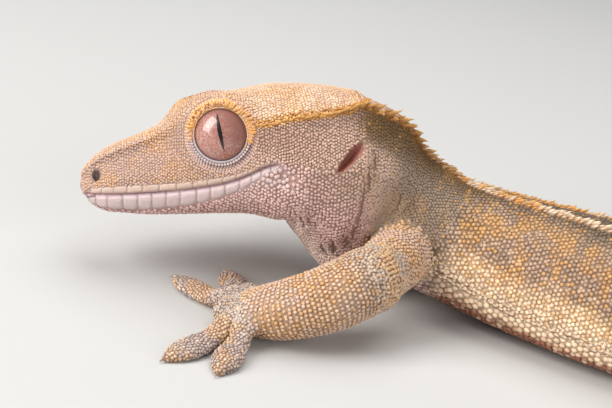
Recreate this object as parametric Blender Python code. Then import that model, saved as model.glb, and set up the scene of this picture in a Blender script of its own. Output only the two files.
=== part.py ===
"""A crested gecko at life size, crouched on a floor with its head raised and turned a little to its left.

The body is one loft from the snout to the tip of the tail, parted into nodes by thin flat cuts. Each section of
the loft is a ring of rails: lines that run lengthwise over the crown, the crests, the lips, the jaw and the belly.
The limbs are lofts too, cut back from the trunk's surface, and the digits are joined to their palms.
All sizes are in millimetres until MM turns them into Blender's metres.
"""

import math
import random

import bmesh
import bpy
import numpy as np
from mathutils import Vector

MM = 0.001
GAP = 0.3

# The head, from the snout's tip along its own axis
HEAD_LENGTH = 33.0
SNOUT_TIP = np.array([-16.5, 0.9, 10.4])
HEAD_YAW, HEAD_PITCH, HEAD_ROLL = 12.4, -7.0, 15.5
HALF_WIDTH = ((0.5, 0.0), (0.65, 1.0), (1.0, 1.9), (1.6, 2.8), (3.0, 4.0), (6.0, 5.2), (10.0, 6.5), (13.5, 7.7),
              (17.0, 8.7), (20.0, 9.6), (23.0, 10.6), (26.0, 11.3), (29.0, 11.4), (33.0, 10.6))
CROWN = ((0.5, 0.0), (0.65, 0.65), (1.0, 1.25), (1.6, 1.95), (3.0, 3.1), (5.0, 4.15), (7.0, 4.85), (10.0, 6.2),
         (12.6, 7.5), (15.0, 8.5), (18.0, 9.6), (20.8, 10.5), (23.0, 10.95), (26.7, 11.05), (30.0, 10.8), (33.0, 10.3))
BROW = ((0.0, 0.0), (9.5, 0.0), (12.6, 1.45), (14.2, 1.3), (17.0, 1.05), (20.0, 0.35), (22.0, 0.0), (33.0, 0.0))
CHIN = ((0.5, -0.5), (0.65, -1.4), (1.0, -2.1), (1.6, -2.8), (3.2, -3.75), (6.0, -4.1), (9.0, -4.25), (17.0, -4.1),
        (20.0, -4.2), (23.0, -4.9), (25.0, -5.3), (26.0, -6.8), (27.2, -8.3), (28.5, -10.2), (30.0, -11.6),
        (33.0, -12.6))
MOUTH = ((0.5, -0.4), (0.65, -1.0), (1.0, -1.6), (1.6, -1.8), (5.5, -1.7), (10.0, -1.35), (14.5, -0.75), (18.0, 0.05),
         (20.0, 0.9), (21.5, 1.65), (23.0, 1.95), (24.2, 1.5), (33.0, 1.2))
MOUTH_END = 23.6
CREST_RISE = ((0.5, 0.0), (1.0, 0.8), (3.0, 2.5), (6.0, 3.9), (10.0, 5.6), (13.0, 7.9), (16.5, 8.3), (19.0, 6.9),
              (21.5, 6.3), (24.0, 6.95), (28.8, 7.6), (30.8, 8.0), (33.0, 8.7))
CREST_OUT = ((0.0, 0.75), (3.0, 0.66), (10.0, 0.74), (14.0, 0.93), (18.0, 0.97), (21.0, 0.96), (27.0, 0.95),
             (33.0, 0.90))

# The path of the trunk and tail behind the head, and its sections by their distance from the snout's tip
TRUNK_PATH = ((21.6, 9.2, 13.0), (29.8, 8.8, 9.6), (38.4, 5.7, 8.0), (48.0, 1.4, 7.7), (60.0, -2.9, 7.9),
              (72.0, -5.7, 7.6), (83.0, -6.9, 6.6), (93.0, -6.9, 4.9), (106.0, -5.2, 3.6), (120.0, -0.6, 2.8),
              (134.0, 5.6, 2.3), (148.0, 11.4, 2.0), (161.0, 14.6, 1.8), (173.0, 14.2, 1.5), (184.0, 10.2, 1.0))
BODY_HALF_WIDTH = ((33.0, 10.6), (37.0, 9.2), (42.0, 8.4), (50.0, 8.8), (60.0, 9.3), (72.0, 9.7), (84.0, 9.2),
                   (95.0, 7.8), (102.0, 6.3), (108.0, 4.9), (114.0, 4.0), (126.0, 3.3), (145.0, 2.5), (165.0, 1.9),
                   (182.0, 1.5), (190.0, 1.6), (196.0, 2.3), (203.0, 2.5), (208.0, 1.7), (210.0, 0.6))
BODY_TOP = ((33.0, 10.3), (34.5, 9.3), (36.0, 8.1), (38.0, 6.7), (41.0, 5.7), (45.0, 5.7), (50.0, 6.4), (60.0, 7.6), (72.0, 8.2), (84.0, 8.0),
            (95.0, 7.0), (102.0, 5.8), (108.0, 4.8), (114.0, 4.0), (126.0, 3.1), (145.0, 2.3), (165.0, 1.8),
            (182.0, 1.4), (190.0, 1.2), (196.0, 1.1), (203.0, 1.0), (208.0, 0.8), (210.0, 0.4))
BODY_BOTTOM = ((33.0, -12.6), (37.0, -11.8), (42.0, -10.2), (50.0, -9.0), (60.0, -8.6), (72.0, -8.5), (84.0, -8.2),
               (95.0, -6.8), (102.0, -5.6), (108.0, -4.8), (114.0, -4.2), (126.0, -3.2), (145.0, -2.5),
               (165.0, -2.1), (185.0, -1.9), (200.0, -1.6), (210.0, -1.0))
BODY_ROLL = ((33.0, HEAD_ROLL), (45.0, 17.0), (60.0, 14.0), (72.0, 9.0), (85.0, 3.0), (97.0, 0.0), (210.0, 0.0))
TRUNK_RAILS = ((0.0, 0.965), (0.22, 0.985), (0.40, 0.99), (0.52, 0.97), (0.62, 0.88), (0.76, 0.71), (0.89, 0.47),
               (0.97, 0.20), (1.0, 0.02), (1.0, -0.12), (0.995, -0.29), (0.95, -0.56), (0.81, -0.82), (0.43, -0.97))
BLEND_LENGTH = 11.0
NECK_END, TORSO_END = 47.0, 104.0
TAIL_ENDS = (134.0, 172.0, 210.0)

# The eye and the openings of the head, in the head's own frame
EYE = (17.1, 6.25, 5.3)
EYE_RADIUS = 3.8
RIM = (16.6, 8.6, 5.35)
RIM_LEAN = 0.21
RIM_REACH = (3.5, 5.6)
NOSTRIL = (2.4, 3.65, 0.5)
NOSTRIL_SIZE = (0.45, 0.9, 0.7)
EAR = (30.82, 10.93, 2.47)
EAR_SIZE = (0.6, 1.7, 2.05)
EAR_LEAN = 45.0

# The limbs: each path runs from inside the trunk over elbow or knee to the wrist or ankle and the palm's front,
# and each digit ends at a tip on the floor
LIMBS = {
    "left_arm": (((25.0, 6.0, 8.2), (22.4, -1.6, 8.1), (19.8, -7.6, 7.9), (15.6, -10.5, 6.1), (10.8, -11.2, 4.0),
                  (7.6, -9.8, 2.6), (5.0, -8.2, 1.8)),
                 ((9.2, 1.6), (2.6, 3.8), (-3.2, -0.6), (-0.8, -20.2), (5.0, -21.2))),
    "right_arm": (((29.0, 13.0, 8.2), (31.0, 19.5, 7.4), (31.6, 25.0, 6.4), (28.0, 28.6, 4.8), (23.6, 30.6, 3.6),
                   (20.2, 31.6, 2.6), (17.4, 32.2, 1.8)),
                  ((17.6, 24.4), (11.8, 25.8), (9.0, 31.6), (12.0, 38.6), (19.0, 40.4))),
    "left_leg": (((80.0, -8.6, 7.0), (71.5, -15.0, 7.0), (64.8, -20.6, 6.2), (68.8, -25.0, 4.8), (75.0, -28.4, 3.4),
                  (78.2, -30.8, 2.3), (80.2, -33.4, 1.6)),
                 ((70.6, -34.4), (72.4, -41.0), (79.4, -43.6), (87.0, -41.4), (88.4, -34.0))),
    "right_leg": (((81.0, -4.2, 7.0), (74.6, 3.4, 7.0), (69.8, 10.4, 6.2), (74.6, 13.8, 4.8), (81.2, 15.8, 3.4),
                   (84.6, 17.6, 2.3), (87.0, 19.8, 1.6)),
                  ((77.6, 21.8), (80.4, 28.4), (87.8, 30.4), (95.0, 27.4), (95.0, 19.6))),
}
ARM = {
    "upper": ((0.0, 4.2, 4.4), (0.5, 3.7, 3.9), (1.0, 3.4, 3.6)),
    "fore": ((0.0, 3.8, 4.0), (0.3, 3.7, 3.8), (0.62, 3.5, 3.3), (0.8, 4.0, 2.8), (1.0, 3.3, 1.8)),
    "wrist": 0.62,
    "knuckle": 0.9,
}
LEG = {
    "upper": ((0.0, 5.0, 5.2), (0.5, 4.6, 4.8), (1.0, 3.6, 3.8)),
    "fore": ((0.0, 3.7, 3.8), (0.3, 3.7, 3.6), (0.66, 3.1, 2.9), (0.82, 3.8, 2.5), (1.0, 3.1, 1.6)),
    "wrist": 0.66,
    "knuckle": 0.9,
}
# A digit's stations: share of its length, half width, half height, height of its middle
DIGIT = ((0.06, 1.5, 1.5, 2.4), (0.22, 1.4, 1.4, 2.0), (0.36, 1.3, 1.25, 1.45), (0.46, 1.3, 1.1, 1.05),
         (0.54, 1.45, 0.95, 0.8), (0.66, 1.7, 0.9, 0.7), (0.78, 1.65, 0.8, 0.62), (0.89, 1.2, 0.68, 0.52),
         (0.95, 0.6, 0.5, 0.45), (1.0, 0.25, 0.3, 0.36))

# Spines
CREST_SPACING = 1.75
CREST_SPINE = (0.95, 0.42)
LASHES = 9
LASH_ARC = (-3.0, 146.0)
LASH_REACH = 4.02
NECK_STEP, TORSO_STEP, TAIL_STEP = 2.0, 2.5, 3.5  # from one ring of the body to the next
RIM_RING = (4.05, 0.42, 0.1)  # the ring round the eye: its radius, thickness and rise

FLOOR = 0.0
COLOURS = {
    "skin": (0.62, 0.45, 0.34),
    "head_skin": (0.66, 0.47, 0.37),
    "limb_skin": (0.55, 0.47, 0.36),
    "eye": (0.45, 0.30, 0.28),
}


def flow(stations, at):
    """A smooth curve through (position, value) stations, read at the positions given."""
    known = np.array(stations, float)
    x, y = known[:, 0], known[:, 1]
    slope = np.diff(y) / np.diff(x)
    bend = np.concatenate([slope[:1], (slope[:-1] + slope[1:]) / 2, slope[-1:]])
    turning = np.concatenate([[False], slope[:-1] * slope[1:] <= 0, [False]])
    bend[turning] = 0.0
    at = np.clip(at, x[0], x[-1])
    i = np.clip(np.searchsorted(x, at, side="right") - 1, 0, len(x) - 2)
    width = x[i + 1] - x[i]
    t = (at - x[i]) / width
    return ((1 + 2 * t) * (1 - t) ** 2 * y[i] + t * (1 - t) ** 2 * width * bend[i]
            + t * t * (3 - 2 * t) * y[i + 1] + t * t * (t - 1) * width * bend[i + 1])


def unit(v):
    return v / np.linalg.norm(v)


def ease(t):
    t = np.clip(t, 0.0, 1.0)
    return t * t * (3 - 2 * t)


def frame_of(back, roll):
    """Left and up for a section whose axis runs back, rolled so that its left side lifts by roll degrees."""
    level = unit(np.cross(back, (0.0, 0.0, 1.0)))
    above = np.cross(level, back)
    turn = math.radians(roll)
    return math.cos(turn) * level + math.sin(turn) * above, math.cos(turn) * above - math.sin(turn) * level


def smooth_line(points, step=0.25):
    """Points about a step apart on a Catmull-Rom curve through the given points, with their distances along it."""
    p = np.array(points, float)
    p = np.vstack([2 * p[0] - p[1], p, 2 * p[-1] - p[-2]])
    line = [p[1]]
    for a, b, c, d in zip(p, p[1:], p[2:], p[3:]):
        count = max(2, int(np.linalg.norm(c - b) / step))
        for t in np.arange(1, count + 1) / count:
            line.append(0.5 * (2 * b + (c - a) * t + (2 * a - 5 * b + 4 * c - d) * t * t
                               + (3 * b - a - 3 * c + d) * t ** 3))
    line = np.array(line)
    along = np.concatenate([[0.0], np.cumsum(np.linalg.norm(np.diff(line, axis=0), axis=1))])
    return line, along


def head_back():
    yaw, pitch = math.radians(HEAD_YAW), math.radians(HEAD_PITCH)
    return np.array([math.cos(pitch) * math.cos(yaw), math.cos(pitch) * math.sin(yaw), -math.sin(pitch)])


def spine_line():
    """The body's axis: straight through the head, then along the trunk and tail."""
    back = head_back()
    inside = [SNOUT_TIP + back * share * HEAD_LENGTH for share in (0.0, 0.33, 0.66, 1.0)]
    return smooth_line(inside + list(TRUNK_PATH))


SPINE, SPINE_AT = spine_line()
BODY_END = SPINE_AT[-1] - 0.05


def section_at(s):
    """(centre, left, up, back) of the body's section at distance s from the snout's tip."""
    centre = np.array([np.interp(s, SPINE_AT, SPINE[:, k]) for k in range(3)])
    if s <= HEAD_LENGTH:
        back = head_back()
        centre = SNOUT_TIP + back * s
    else:
        ahead, behind = (np.array([np.interp(at, SPINE_AT, SPINE[:, k]) for k in range(3)])
                         for at in (s - 2.0, min(s + 2.0, SPINE_AT[-1])))
        back = unit(unit(behind - ahead) * ease((s - HEAD_LENGTH) / 3.0)
                    + head_back() * (1 - ease((s - HEAD_LENGTH) / 3.0)))
    left, up = frame_of(back, flow(BODY_ROLL, s))
    return centre, left, up, back


def head_rails(a):
    """(out, up) of the rails on the head's left side at distance a from the snout's tip, crown to chin."""
    w, top, low, mouth = (float(flow(p, a)) for p in (HALF_WIDTH, CROWN, CHIN, MOUTH))
    crest, out = float(flow(CREST_RISE, a)), w * float(flow(CREST_OUT, a))
    lips = min(1.0, (mouth - low) / 1.9, w / 3.0)
    pouch = float(ease((a - 24.0) / 5.0))
    groove = 0.35 * lips * (1 - ease((a - MOUTH_END + 1.5) / 1.5))
    brow = float(flow(BROW, a))
    cheek = ease((a - MOUTH_END) / 3.0)
    rails = [
        (0.0, top),
        (0.36 * out, top + 0.25 * brow),
        (0.74 * out, top + brow - 0.22 * (top - crest)),
        (out, crest),
        (0.985 * out, crest - 0.16 * (crest - mouth)),
        (0.5 * (out + w) * 0.985, crest - 0.45 * (crest - mouth)),
        (0.99 * w, crest - 0.70 * (crest - mouth)),
        (w, mouth + 1.0 * lips),
        ((0.985 + 0.012 * cheek) * w, mouth + 0.28 * lips),
        ((0.975 + 0.022 * cheek) * w - groove, mouth),
        ((0.965 + 0.022 * cheek) * w, mouth - 0.28 * lips),
        (0.93 * w - 0.10 * w * pouch, mouth - 0.45 * (mouth - low)),
        (0.74 * w - 0.22 * w * pouch, low + (0.10 + 0.08 * pouch) * (mouth - low)),
        (0.36 * w - 0.08 * w * pouch, low),
        (0.0, low),
    ]
    return np.array([(abs(b), c) for b, c in rails])


def trunk_rails(s):
    """The same rails on the neck, trunk and tail: a rounded section, a little flat under the belly."""
    w, top, low = (float(flow(p, s)) for p in (BODY_HALF_WIDTH, BODY_TOP, BODY_BOTTOM))
    rails = [(w * side, (top if rise > 0 else -low) * rise) for side, rise in TRUNK_RAILS]
    rails.append((0.0, low))
    return np.array(rails)


def orbit(a, b, c):
    """The half width at a point of the head's own frame, drawn out or in to the plane of the eye's rim near it."""
    reach = np.hypot(a - RIM[0], c - RIM[2])
    share = ease((RIM_REACH[1] - reach) / (RIM_REACH[1] - RIM_REACH[0])) * ease((abs(b) - 3.3) / 2.4)
    return b + share * (RIM[1] + RIM_LEAN * (a - RIM[0]) - b)


def body_ring(s, inflate=0.0):
    """The body's ring at distance s, as points in the floor's frame, laid on the floor where it would sink."""
    if s <= HEAD_LENGTH:
        rails = head_rails(s)
    else:
        share = ease((s - HEAD_LENGTH) / BLEND_LENGTH)
        joint, trunk = head_rails(HEAD_LENGTH), trunk_rails(s)
        joint[:, 0] *= trunk[:, 0].max() / joint[:, 0].max()
        joint[:, 1] *= np.where(joint[:, 1] > 0, trunk[:, 1].max() / joint[:, 1].max(),
                                trunk[:, 1].min() / joint[:, 1].min())
        rails = (1 - share) * joint + share * trunk
    b, c = rails[:, 0], rails[:, 1]
    if s < HEAD_LENGTH:
        b = orbit(s, b, c)
    if inflate:
        middle = (c.max() + c.min()) / 2
        b, c = b * (1 + inflate / b.max()), middle + (c - middle) * (1 + 2 * inflate / np.ptp(c))
    centre, left, up, _ = section_at(s)
    b = np.concatenate([b, -b[-2:0:-1]])
    c = np.concatenate([c, c[-2:0:-1]])
    ring = centre + np.outer(b, left) + np.outer(c, up)
    if s > HEAD_LENGTH:
        ring[:, 2] = np.maximum(ring[:, 2], FLOOR)
    return ring


def head_point(a, b, c):
    """A point of the head's own frame (back, left, up) in the floor's frame."""
    left, up = frame_of(head_back(), HEAD_ROLL)
    return SNOUT_TIP + head_back() * a + left * b + up * c


def loft(name, rings, front=None, rear=None):
    """A closed object through rings of equal size. front and rear are poles, or None for a flat end."""
    bm = bmesh.new()
    rows = [[bm.verts.new(Vector(p) * MM) for p in ring] for ring in rings]
    for near, far in zip(rows, rows[1:]):
        for i in range(len(near)):
            j = (i + 1) % len(near)
            bm.faces.new((near[i], near[j], far[j], far[i]))
    for row, pole in ((rows[0], front), (rows[-1], rear)):
        if pole is None:
            pole = sum((v.co for v in row), Vector()) / len(row) / MM
        tip = bm.verts.new(Vector(pole) * MM)
        for i in range(len(row)):
            bm.faces.new((row[i], row[(i + 1) % len(row)], tip))
    return solid(name, bm)


def solid(name, bm):
    """A triangulated object from a closed mesh, with its faces turned outwards."""
    bmesh.ops.recalc_face_normals(bm, faces=bm.faces)
    if bm.calc_volume(signed=True) < 0:
        bmesh.ops.reverse_faces(bm, faces=bm.faces)
    bmesh.ops.triangulate(bm, faces=[f for f in bm.faces if len(f.verts) > 3], quad_method="SHORT_EDGE")
    mesh = bpy.data.meshes.new(name)
    bm.to_mesh(mesh)
    bm.free()
    obj = bpy.data.objects.new(name, mesh)
    bpy.context.scene.collection.objects.link(obj)
    return obj


def ball(name, centre, sizes, turn=None, segments=16, rings=10):
    """An ellipsoid whose three half sizes lie along the columns of turn."""
    bm = bmesh.new()
    bmesh.ops.create_uvsphere(bm, u_segments=segments, v_segments=rings, radius=1.0)
    turn = np.eye(3) if turn is None else turn
    for v in bm.verts:
        v.co = Vector((centre + turn @ (np.array(v.co) * sizes)) * MM)
    return solid(name, bm)


def spine(root, lean, height, radius, sink=0.55):
    """A four-sided spine that leaves the skin at root along lean, its base sunk into the flesh."""
    lean = unit(np.array(lean, float))
    across = unit(np.cross(lean, (0.31, 0.17, 0.93)))
    other = np.cross(lean, across)
    base = [root - lean * sink + radius * (math.cos(q) * across + math.sin(q) * other)
            for q in (math.radians(45 + 90 * k) for k in range(4))]
    return loft("spine", [base], front=root - lean * sink, rear=root + lean * height)


def largest_shell(obj):
    """Keeps the largest closed surface of an object's mesh and drops the rest."""
    bm = bmesh.new()
    bm.from_mesh(obj.data)
    shells, left = [], set(bm.faces)
    while left:
        shell, edge = set(), [left.pop()]
        while edge:
            face = edge.pop()
            shell.add(face)
            for e in face.edges:
                for other in e.link_faces:
                    if other in left:
                        left.remove(other)
                        edge.append(other)
        shells.append(shell)
    keep = max(shells, key=lambda faces: sum(f.calc_area() for f in faces))
    bmesh.ops.delete(bm, geom=[f for f in bm.faces if f not in keep], context="FACES")
    bm.to_mesh(obj.data)
    bm.free()


def combine(obj, others, operation, solver="MANIFOLD"):
    """Joins or cuts an object with others by one Boolean, applies it and removes the others."""
    group = bpy.data.collections.new("helpers")
    for other in others:
        group.objects.link(other)
    modifier = obj.modifiers.new("combine", "BOOLEAN")
    modifier.operation = operation
    modifier.operand_type = "COLLECTION"
    modifier.collection = group
    modifier.solver = solver
    bpy.context.view_layer.update()
    made = bpy.data.meshes.new_from_object(obj.evaluated_get(bpy.context.evaluated_depsgraph_get()))
    obj.modifiers.clear()
    obj.data = made
    for other in others:
        bpy.data.objects.remove(other)
    bpy.data.collections.remove(group)
    largest_shell(obj)
    return obj


def finish(obj, colour, roughness=0.6):
    """Gives a node its material and shades it smooth across its gentle edges."""
    material = bpy.data.materials.get(colour) or bpy.data.materials.new(colour)
    material.use_nodes = True
    shader = material.node_tree.nodes["Principled BSDF"]
    shader.inputs["Base Color"].default_value = (*COLOURS[colour], 1.0)
    shader.inputs["Roughness"].default_value = roughness
    obj.data.materials.clear()
    obj.data.materials.append(material)
    obj.data.shade_smooth()
    obj.data.set_sharp_from_angle(angle=math.radians(40))
    return obj


def crest_spines(start, end, rng):
    """The two rows of crest spines between two distances along the body."""
    spines = []
    count = int((end - start) / CREST_SPACING)
    for k in range(count):
        s = start + (k + 0.5) * (end - start) / count
        ring = body_ring(s)
        centre, _, up, back = section_at(s)
        for index in (3, len(ring) - 3):
            root = ring[index]
            out = unit(0.55 * unit(root - centre) + 0.45 * up + 0.55 * back)
            height = CREST_SPINE[0] * rng.uniform(0.75, 1.2)
            spines.append(spine(root, out, height, CREST_SPINE[1]))
    return spines


def lashes(side):
    """The short spines that fringe the upper rim of one eye."""
    made = []
    for k in range(LASHES):
        around = math.radians(LASH_ARC[0] + (LASH_ARC[1] - LASH_ARC[0]) * k / (LASHES - 1))
        a, c = RIM[0] + LASH_REACH * math.cos(around), RIM[2] + LASH_REACH * math.sin(around)
        root = head_point(a, side * (RIM[1] + RIM_LEAN * (a - RIM[0])), c)
        lean = root - head_point(RIM[0], side * (RIM[1] - 2.6), RIM[2])
        made.append(spine(root, lean, 0.95, 0.36, sink=0.7))
    return made


def rim(side):
    """The raised ring of skin round one eye, where other lizards have lids."""
    left, up = frame_of(head_back(), HEAD_ROLL)
    out = unit(-RIM_LEAN * head_back() + side * left)
    rise = unit(up - out * (up @ out))
    along = np.cross(rise, out)
    middle = head_point(RIM[0], side * RIM[1], RIM[2]) + out * RIM_RING[2]
    bm = bmesh.new()
    rows = []
    for k in range(24):
        around = math.radians(15 * k)
        spoke = math.cos(around) * along + math.sin(around) * rise
        rows.append([bm.verts.new(Vector((middle + spoke * (RIM_RING[0] + RIM_RING[1] * math.cos(q))
                                          + out * RIM_RING[1] * math.sin(q)) * MM))
                     for q in (math.radians(60 * n + 20) for n in range(6))])
    for near, far in zip(rows, rows[1:] + rows[:1]):
        for i in range(6):
            j = (i + 1) % 6
            bm.faces.new((near[i], near[j], far[j], far[i]))
    return solid("rim", bm)


def head():
    at = [0.65, 1.0, 1.6, 2.3, 3.2, 4.6, 6.0, 8.0, 10.0, 11.7] + list(np.arange(13.0, 22.1, 1.0)) + [
        23.2, 24.4, 25.8, 27.5, 29.2, 31.0, HEAD_LENGTH - GAP / 2]
    obj = loft("head", [body_ring(s) for s in at], front=head_point(0.5, 0.0, -0.3))
    left, up = frame_of(head_back(), HEAD_ROLL)
    lean = math.radians(EAR_LEAN)
    slit = math.cos(lean) * up + math.sin(lean) * head_back()
    cutters = []
    for side in (1, -1):
        cutters.append(ball("socket", head_point(EYE[0], side * EYE[1], EYE[2]), (EYE_RADIUS + GAP,) * 3,
                            segments=20, rings=12))
        across = unit(np.cross(slit, left))
        cutters.append(ball("ear", head_point(EAR[0], side * EAR[1], EAR[2]), EAR_SIZE,
                            np.column_stack([across, left, slit]), 10, 8))
        cutters.append(ball("nostril", head_point(NOSTRIL[0], side * NOSTRIL[1], NOSTRIL[2]), NOSTRIL_SIZE,
                            np.column_stack([head_back(), left, up]), 8, 6))
    combine(obj, cutters, "DIFFERENCE")
    rng = random.Random(3)
    combine(obj, crest_spines(21.0, HEAD_LENGTH - 1.0, rng) + lashes(1) + lashes(-1)
            + [rim(1), rim(-1)], "UNION")
    return finish(obj, "head_skin")


def eye(side):
    name = "eye_left" if side > 0 else "eye_right"
    left, up = frame_of(head_back(), HEAD_ROLL)
    turn = np.column_stack([head_back(), up, left])
    obj = ball(name, head_point(EYE[0], side * EYE[1], EYE[2]), (EYE_RADIUS,) * 3, turn, 20, 12)
    return finish(obj, "eye", roughness=0.15)


def stretch(name, start, end, step, spines=None, tip=False):
    """One node of the body between two distances, with its share of the crest's spines."""
    count = max(2, int(round((end - start) / step)))
    at = np.linspace(start, end, count + 1)
    rings = [body_ring(s) for s in at]
    rear = section_at(end)[0] + section_at(end)[3] * 0.4 if tip else None
    obj = loft(name, rings, rear=rear)
    if spines:
        rng = random.Random(len(name))
        combine(obj, crest_spines(spines[0], spines[1], rng), "UNION")
    return finish(obj, "skin")


def ellipse_ring(centre, back, w, h, sides, inflate=0.0):
    """A ring of an elliptical section square to back, laid on the floor where it would sink."""
    left, up = frame_of(back, 0.0)
    angles = np.radians((np.arange(sides) + 0.5) * 360.0 / sides)
    ring = centre + np.outer((w + inflate) * np.cos(angles), left) + np.outer((h + inflate) * np.sin(angles), up)
    ring[:, 2] = np.maximum(ring[:, 2], FLOOR)
    return ring


def tube(name, path, stations, start=0.0, end=1.0, sides=14, step=1.6, inflate=0.0):
    """A limb's length between two shares of a path. Stations hold (share, half width, half height). Where an end
    of the path itself is reached the tube closes in a dome, and elsewhere it is cut flat."""
    line, along = smooth_line(path)
    total = along[-1]
    wide = [(share * total, w) for share, w, _ in stations]
    tall = [(share * total, h) for share, _, h in stations]
    at = np.linspace(start * total, end * total, max(3, int((end - start) * total / step)) + 1)
    rings, ends = [], [None, None]
    for s in at:
        centre = np.array([np.interp(s, along, line[:, k]) for k in range(3)])
        before, after = (np.array([np.interp(q, along, line[:, k]) for k in range(3)]) for q in (s - 0.8, s + 0.8))
        rings.append((centre, unit(after - before), float(flow(wide, s)), float(flow(tall, s))))
    made = [ellipse_ring(c, back, w, h, sides, inflate) for c, back, w, h in rings]
    for side, reached in ((0, start <= 0.0), (-1, end >= 1.0)):
        if reached:
            centre, back, w, h = rings[side]
            away = back if side else -back
            dome = [ellipse_ring(centre + away * (h + inflate) * math.sin(q), back, (w + inflate) * math.cos(q),
                                 (h + inflate) * math.cos(q), sides) for q in (0.55, 1.05)]
            ends[side] = centre + away * (h + inflate)
            made = made + dome if side else dome[::-1] + made
    return loft(name, made, ends[0], ends[-1])


def digit(palm, tip, knuckle):
    """A toe from inside the palm to its tip: a raised knuckle, a broad flat pad on the floor and a small claw."""
    palm, tip = np.array(palm), np.array([tip[0], tip[1], 0.0])
    flat = np.array([*(tip - palm)[:2], 0.0])
    length = float(np.linalg.norm(flat))
    rings = []
    for share, w, h, rise in DIGIT:
        centre = palm + flat * share
        centre[2] = rise if share > 0.3 else palm[2] + (rise - palm[2]) * share / 0.3
        centre[2] += knuckle * math.exp(-((share - 0.27) / 0.13) ** 2)
        rings.append(ellipse_ring(centre, unit(flat), w, h, 8))
    claw = palm + flat * (1.0 + 0.55 / length)
    claw[2] = 0.12
    return loft("digit", rings, front=palm, rear=claw)


def limb(name, parts, trunk):
    """The three nodes of one limb."""
    path, tips = LIMBS[name]
    upper, lower, end = parts
    root, fore = path[:3], path[2:]
    shape = ARM if "arm" in name else LEG
    wrist = shape["wrist"]
    line, along = smooth_line(fore)
    half = GAP / 2 / along[-1]
    forearm = tube(lower, fore, shape["fore"], 0.0, wrist - half)
    guard = tube("guard", fore, shape["fore"], 0.0, wrist - half, inflate=GAP)
    arm = tube(upper, root, shape["upper"], 0.0, 1.0)
    combine(arm, [guard, *(stretch_guard(*span) for span in trunk)], "DIFFERENCE")
    palm = np.array(fore[-2])
    hand = tube(end, fore, shape["fore"], wrist + half, 1.0)
    digits = [digit(palm, tip, shape["knuckle"]) for tip in tips]
    combine(hand, digits, "UNION")
    for obj in (arm, forearm, hand):
        finish(obj, "limb_skin")


def stretch_guard(start, end):
    """The trunk between two distances, one gap larger, to cut a limb's root back from it."""
    at = np.linspace(start, end, max(2, int(end - start)) + 1)
    return loft("guard", [body_ring(s, inflate=1.3 * GAP) for s in at])


def tail_piece(name, start, end):
    stretch(name, start, end, TAIL_STEP, tip=end > BODY_END - 1.0)


def centre_on_origin():
    """Moves the whole animal so that its box stands on z = 0 with its middle over the origin."""
    objects = list(bpy.context.scene.collection.objects)
    corners = np.array([v.co for obj in objects for v in obj.data.vertices])
    low, high = corners.min(axis=0), corners.max(axis=0)
    shift = Vector(((low[0] + high[0]) / 2, (low[1] + high[1]) / 2, low[2]))
    for obj in objects:
        for v in obj.data.vertices:
            v.co -= shift


def main():
    for obj in list(bpy.data.objects):
        bpy.data.objects.remove(obj)
    head()
    eye(1)
    eye(-1)
    stretch("neck", HEAD_LENGTH + GAP / 2, NECK_END - GAP / 2, NECK_STEP, (HEAD_LENGTH + 1.0, NECK_END - 1.0))
    stretch("torso", NECK_END + GAP / 2, TORSO_END - GAP / 2, TORSO_STEP, (NECK_END + 1.0, TORSO_END - 1.0))
    start = TORSO_END
    for number, end in enumerate((*TAIL_ENDS[:-1], BODY_END), 1):
        tail_piece(f"tail_{number}", start + GAP / 2, end - GAP / 2 if end < BODY_END else end)
        start = end
    front = ((HEAD_LENGTH + GAP / 2, 80.0),)
    rear = ((70.0, 130.0),)
    for side in ("left", "right"):
        limb(f"{side}_arm", (f"{side}_upper_arm", f"{side}_forearm", f"{side}_hand"), front)
        limb(f"{side}_leg", (f"{side}_thigh", f"{side}_shank", f"{side}_foot"), rear)
    centre_on_origin()


main()
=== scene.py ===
"""Dresses a packed crested gecko in one unbroken skin, scales, a crest, lips, eyes and claws, on a stage.

The body's surface is drawn again from the same named sizes as the solids, fine enough for folds and lips.
Scales, spines and lashes are small meshes set on it in staggered rows by Geometry Nodes. Sizes are in
millimetres, in the drawing's own frame, until Drawing.place turns them into metres in the model's frame.
"""

from __future__ import annotations

import logging
import math
from dataclasses import dataclass, field
from enum import Enum
from functools import cache
from typing import Callable, Sequence

import bmesh
import bpy
import numpy as np
from mathutils import Matrix, Vector
from mathutils.bvhtree import BVHTree
from mathutils.kdtree import KDTree


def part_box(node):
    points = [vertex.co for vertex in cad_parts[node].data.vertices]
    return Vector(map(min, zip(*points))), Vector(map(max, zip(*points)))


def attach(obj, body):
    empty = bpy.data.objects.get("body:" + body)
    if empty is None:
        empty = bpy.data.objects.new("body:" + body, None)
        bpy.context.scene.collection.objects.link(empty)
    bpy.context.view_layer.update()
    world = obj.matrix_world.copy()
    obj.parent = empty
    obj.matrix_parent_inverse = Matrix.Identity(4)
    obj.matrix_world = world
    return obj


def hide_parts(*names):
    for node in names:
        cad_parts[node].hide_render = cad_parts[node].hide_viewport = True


MM = 0.001
log = logging.getLogger("gecko")
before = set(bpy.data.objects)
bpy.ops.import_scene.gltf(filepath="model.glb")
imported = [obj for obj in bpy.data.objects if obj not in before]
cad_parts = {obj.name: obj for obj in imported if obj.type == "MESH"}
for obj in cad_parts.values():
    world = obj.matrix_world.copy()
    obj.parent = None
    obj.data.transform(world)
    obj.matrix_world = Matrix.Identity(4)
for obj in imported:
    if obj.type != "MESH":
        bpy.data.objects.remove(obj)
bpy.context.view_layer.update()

Array = np.ndarray
Object = bpy.types.Object
Material = bpy.types.Material
Mesh = bpy.types.Mesh
Triple = tuple[float, float, float]
Stations = tuple[tuple[float, float], ...]


# Curves and small maths


def ease(t: Array | float) -> Array:
    """A smooth step from 0 to 1 as t goes from 0 to 1."""
    t = np.clip(t, 0.0, 1.0)
    return t * t * (3 - 2 * t)


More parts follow.
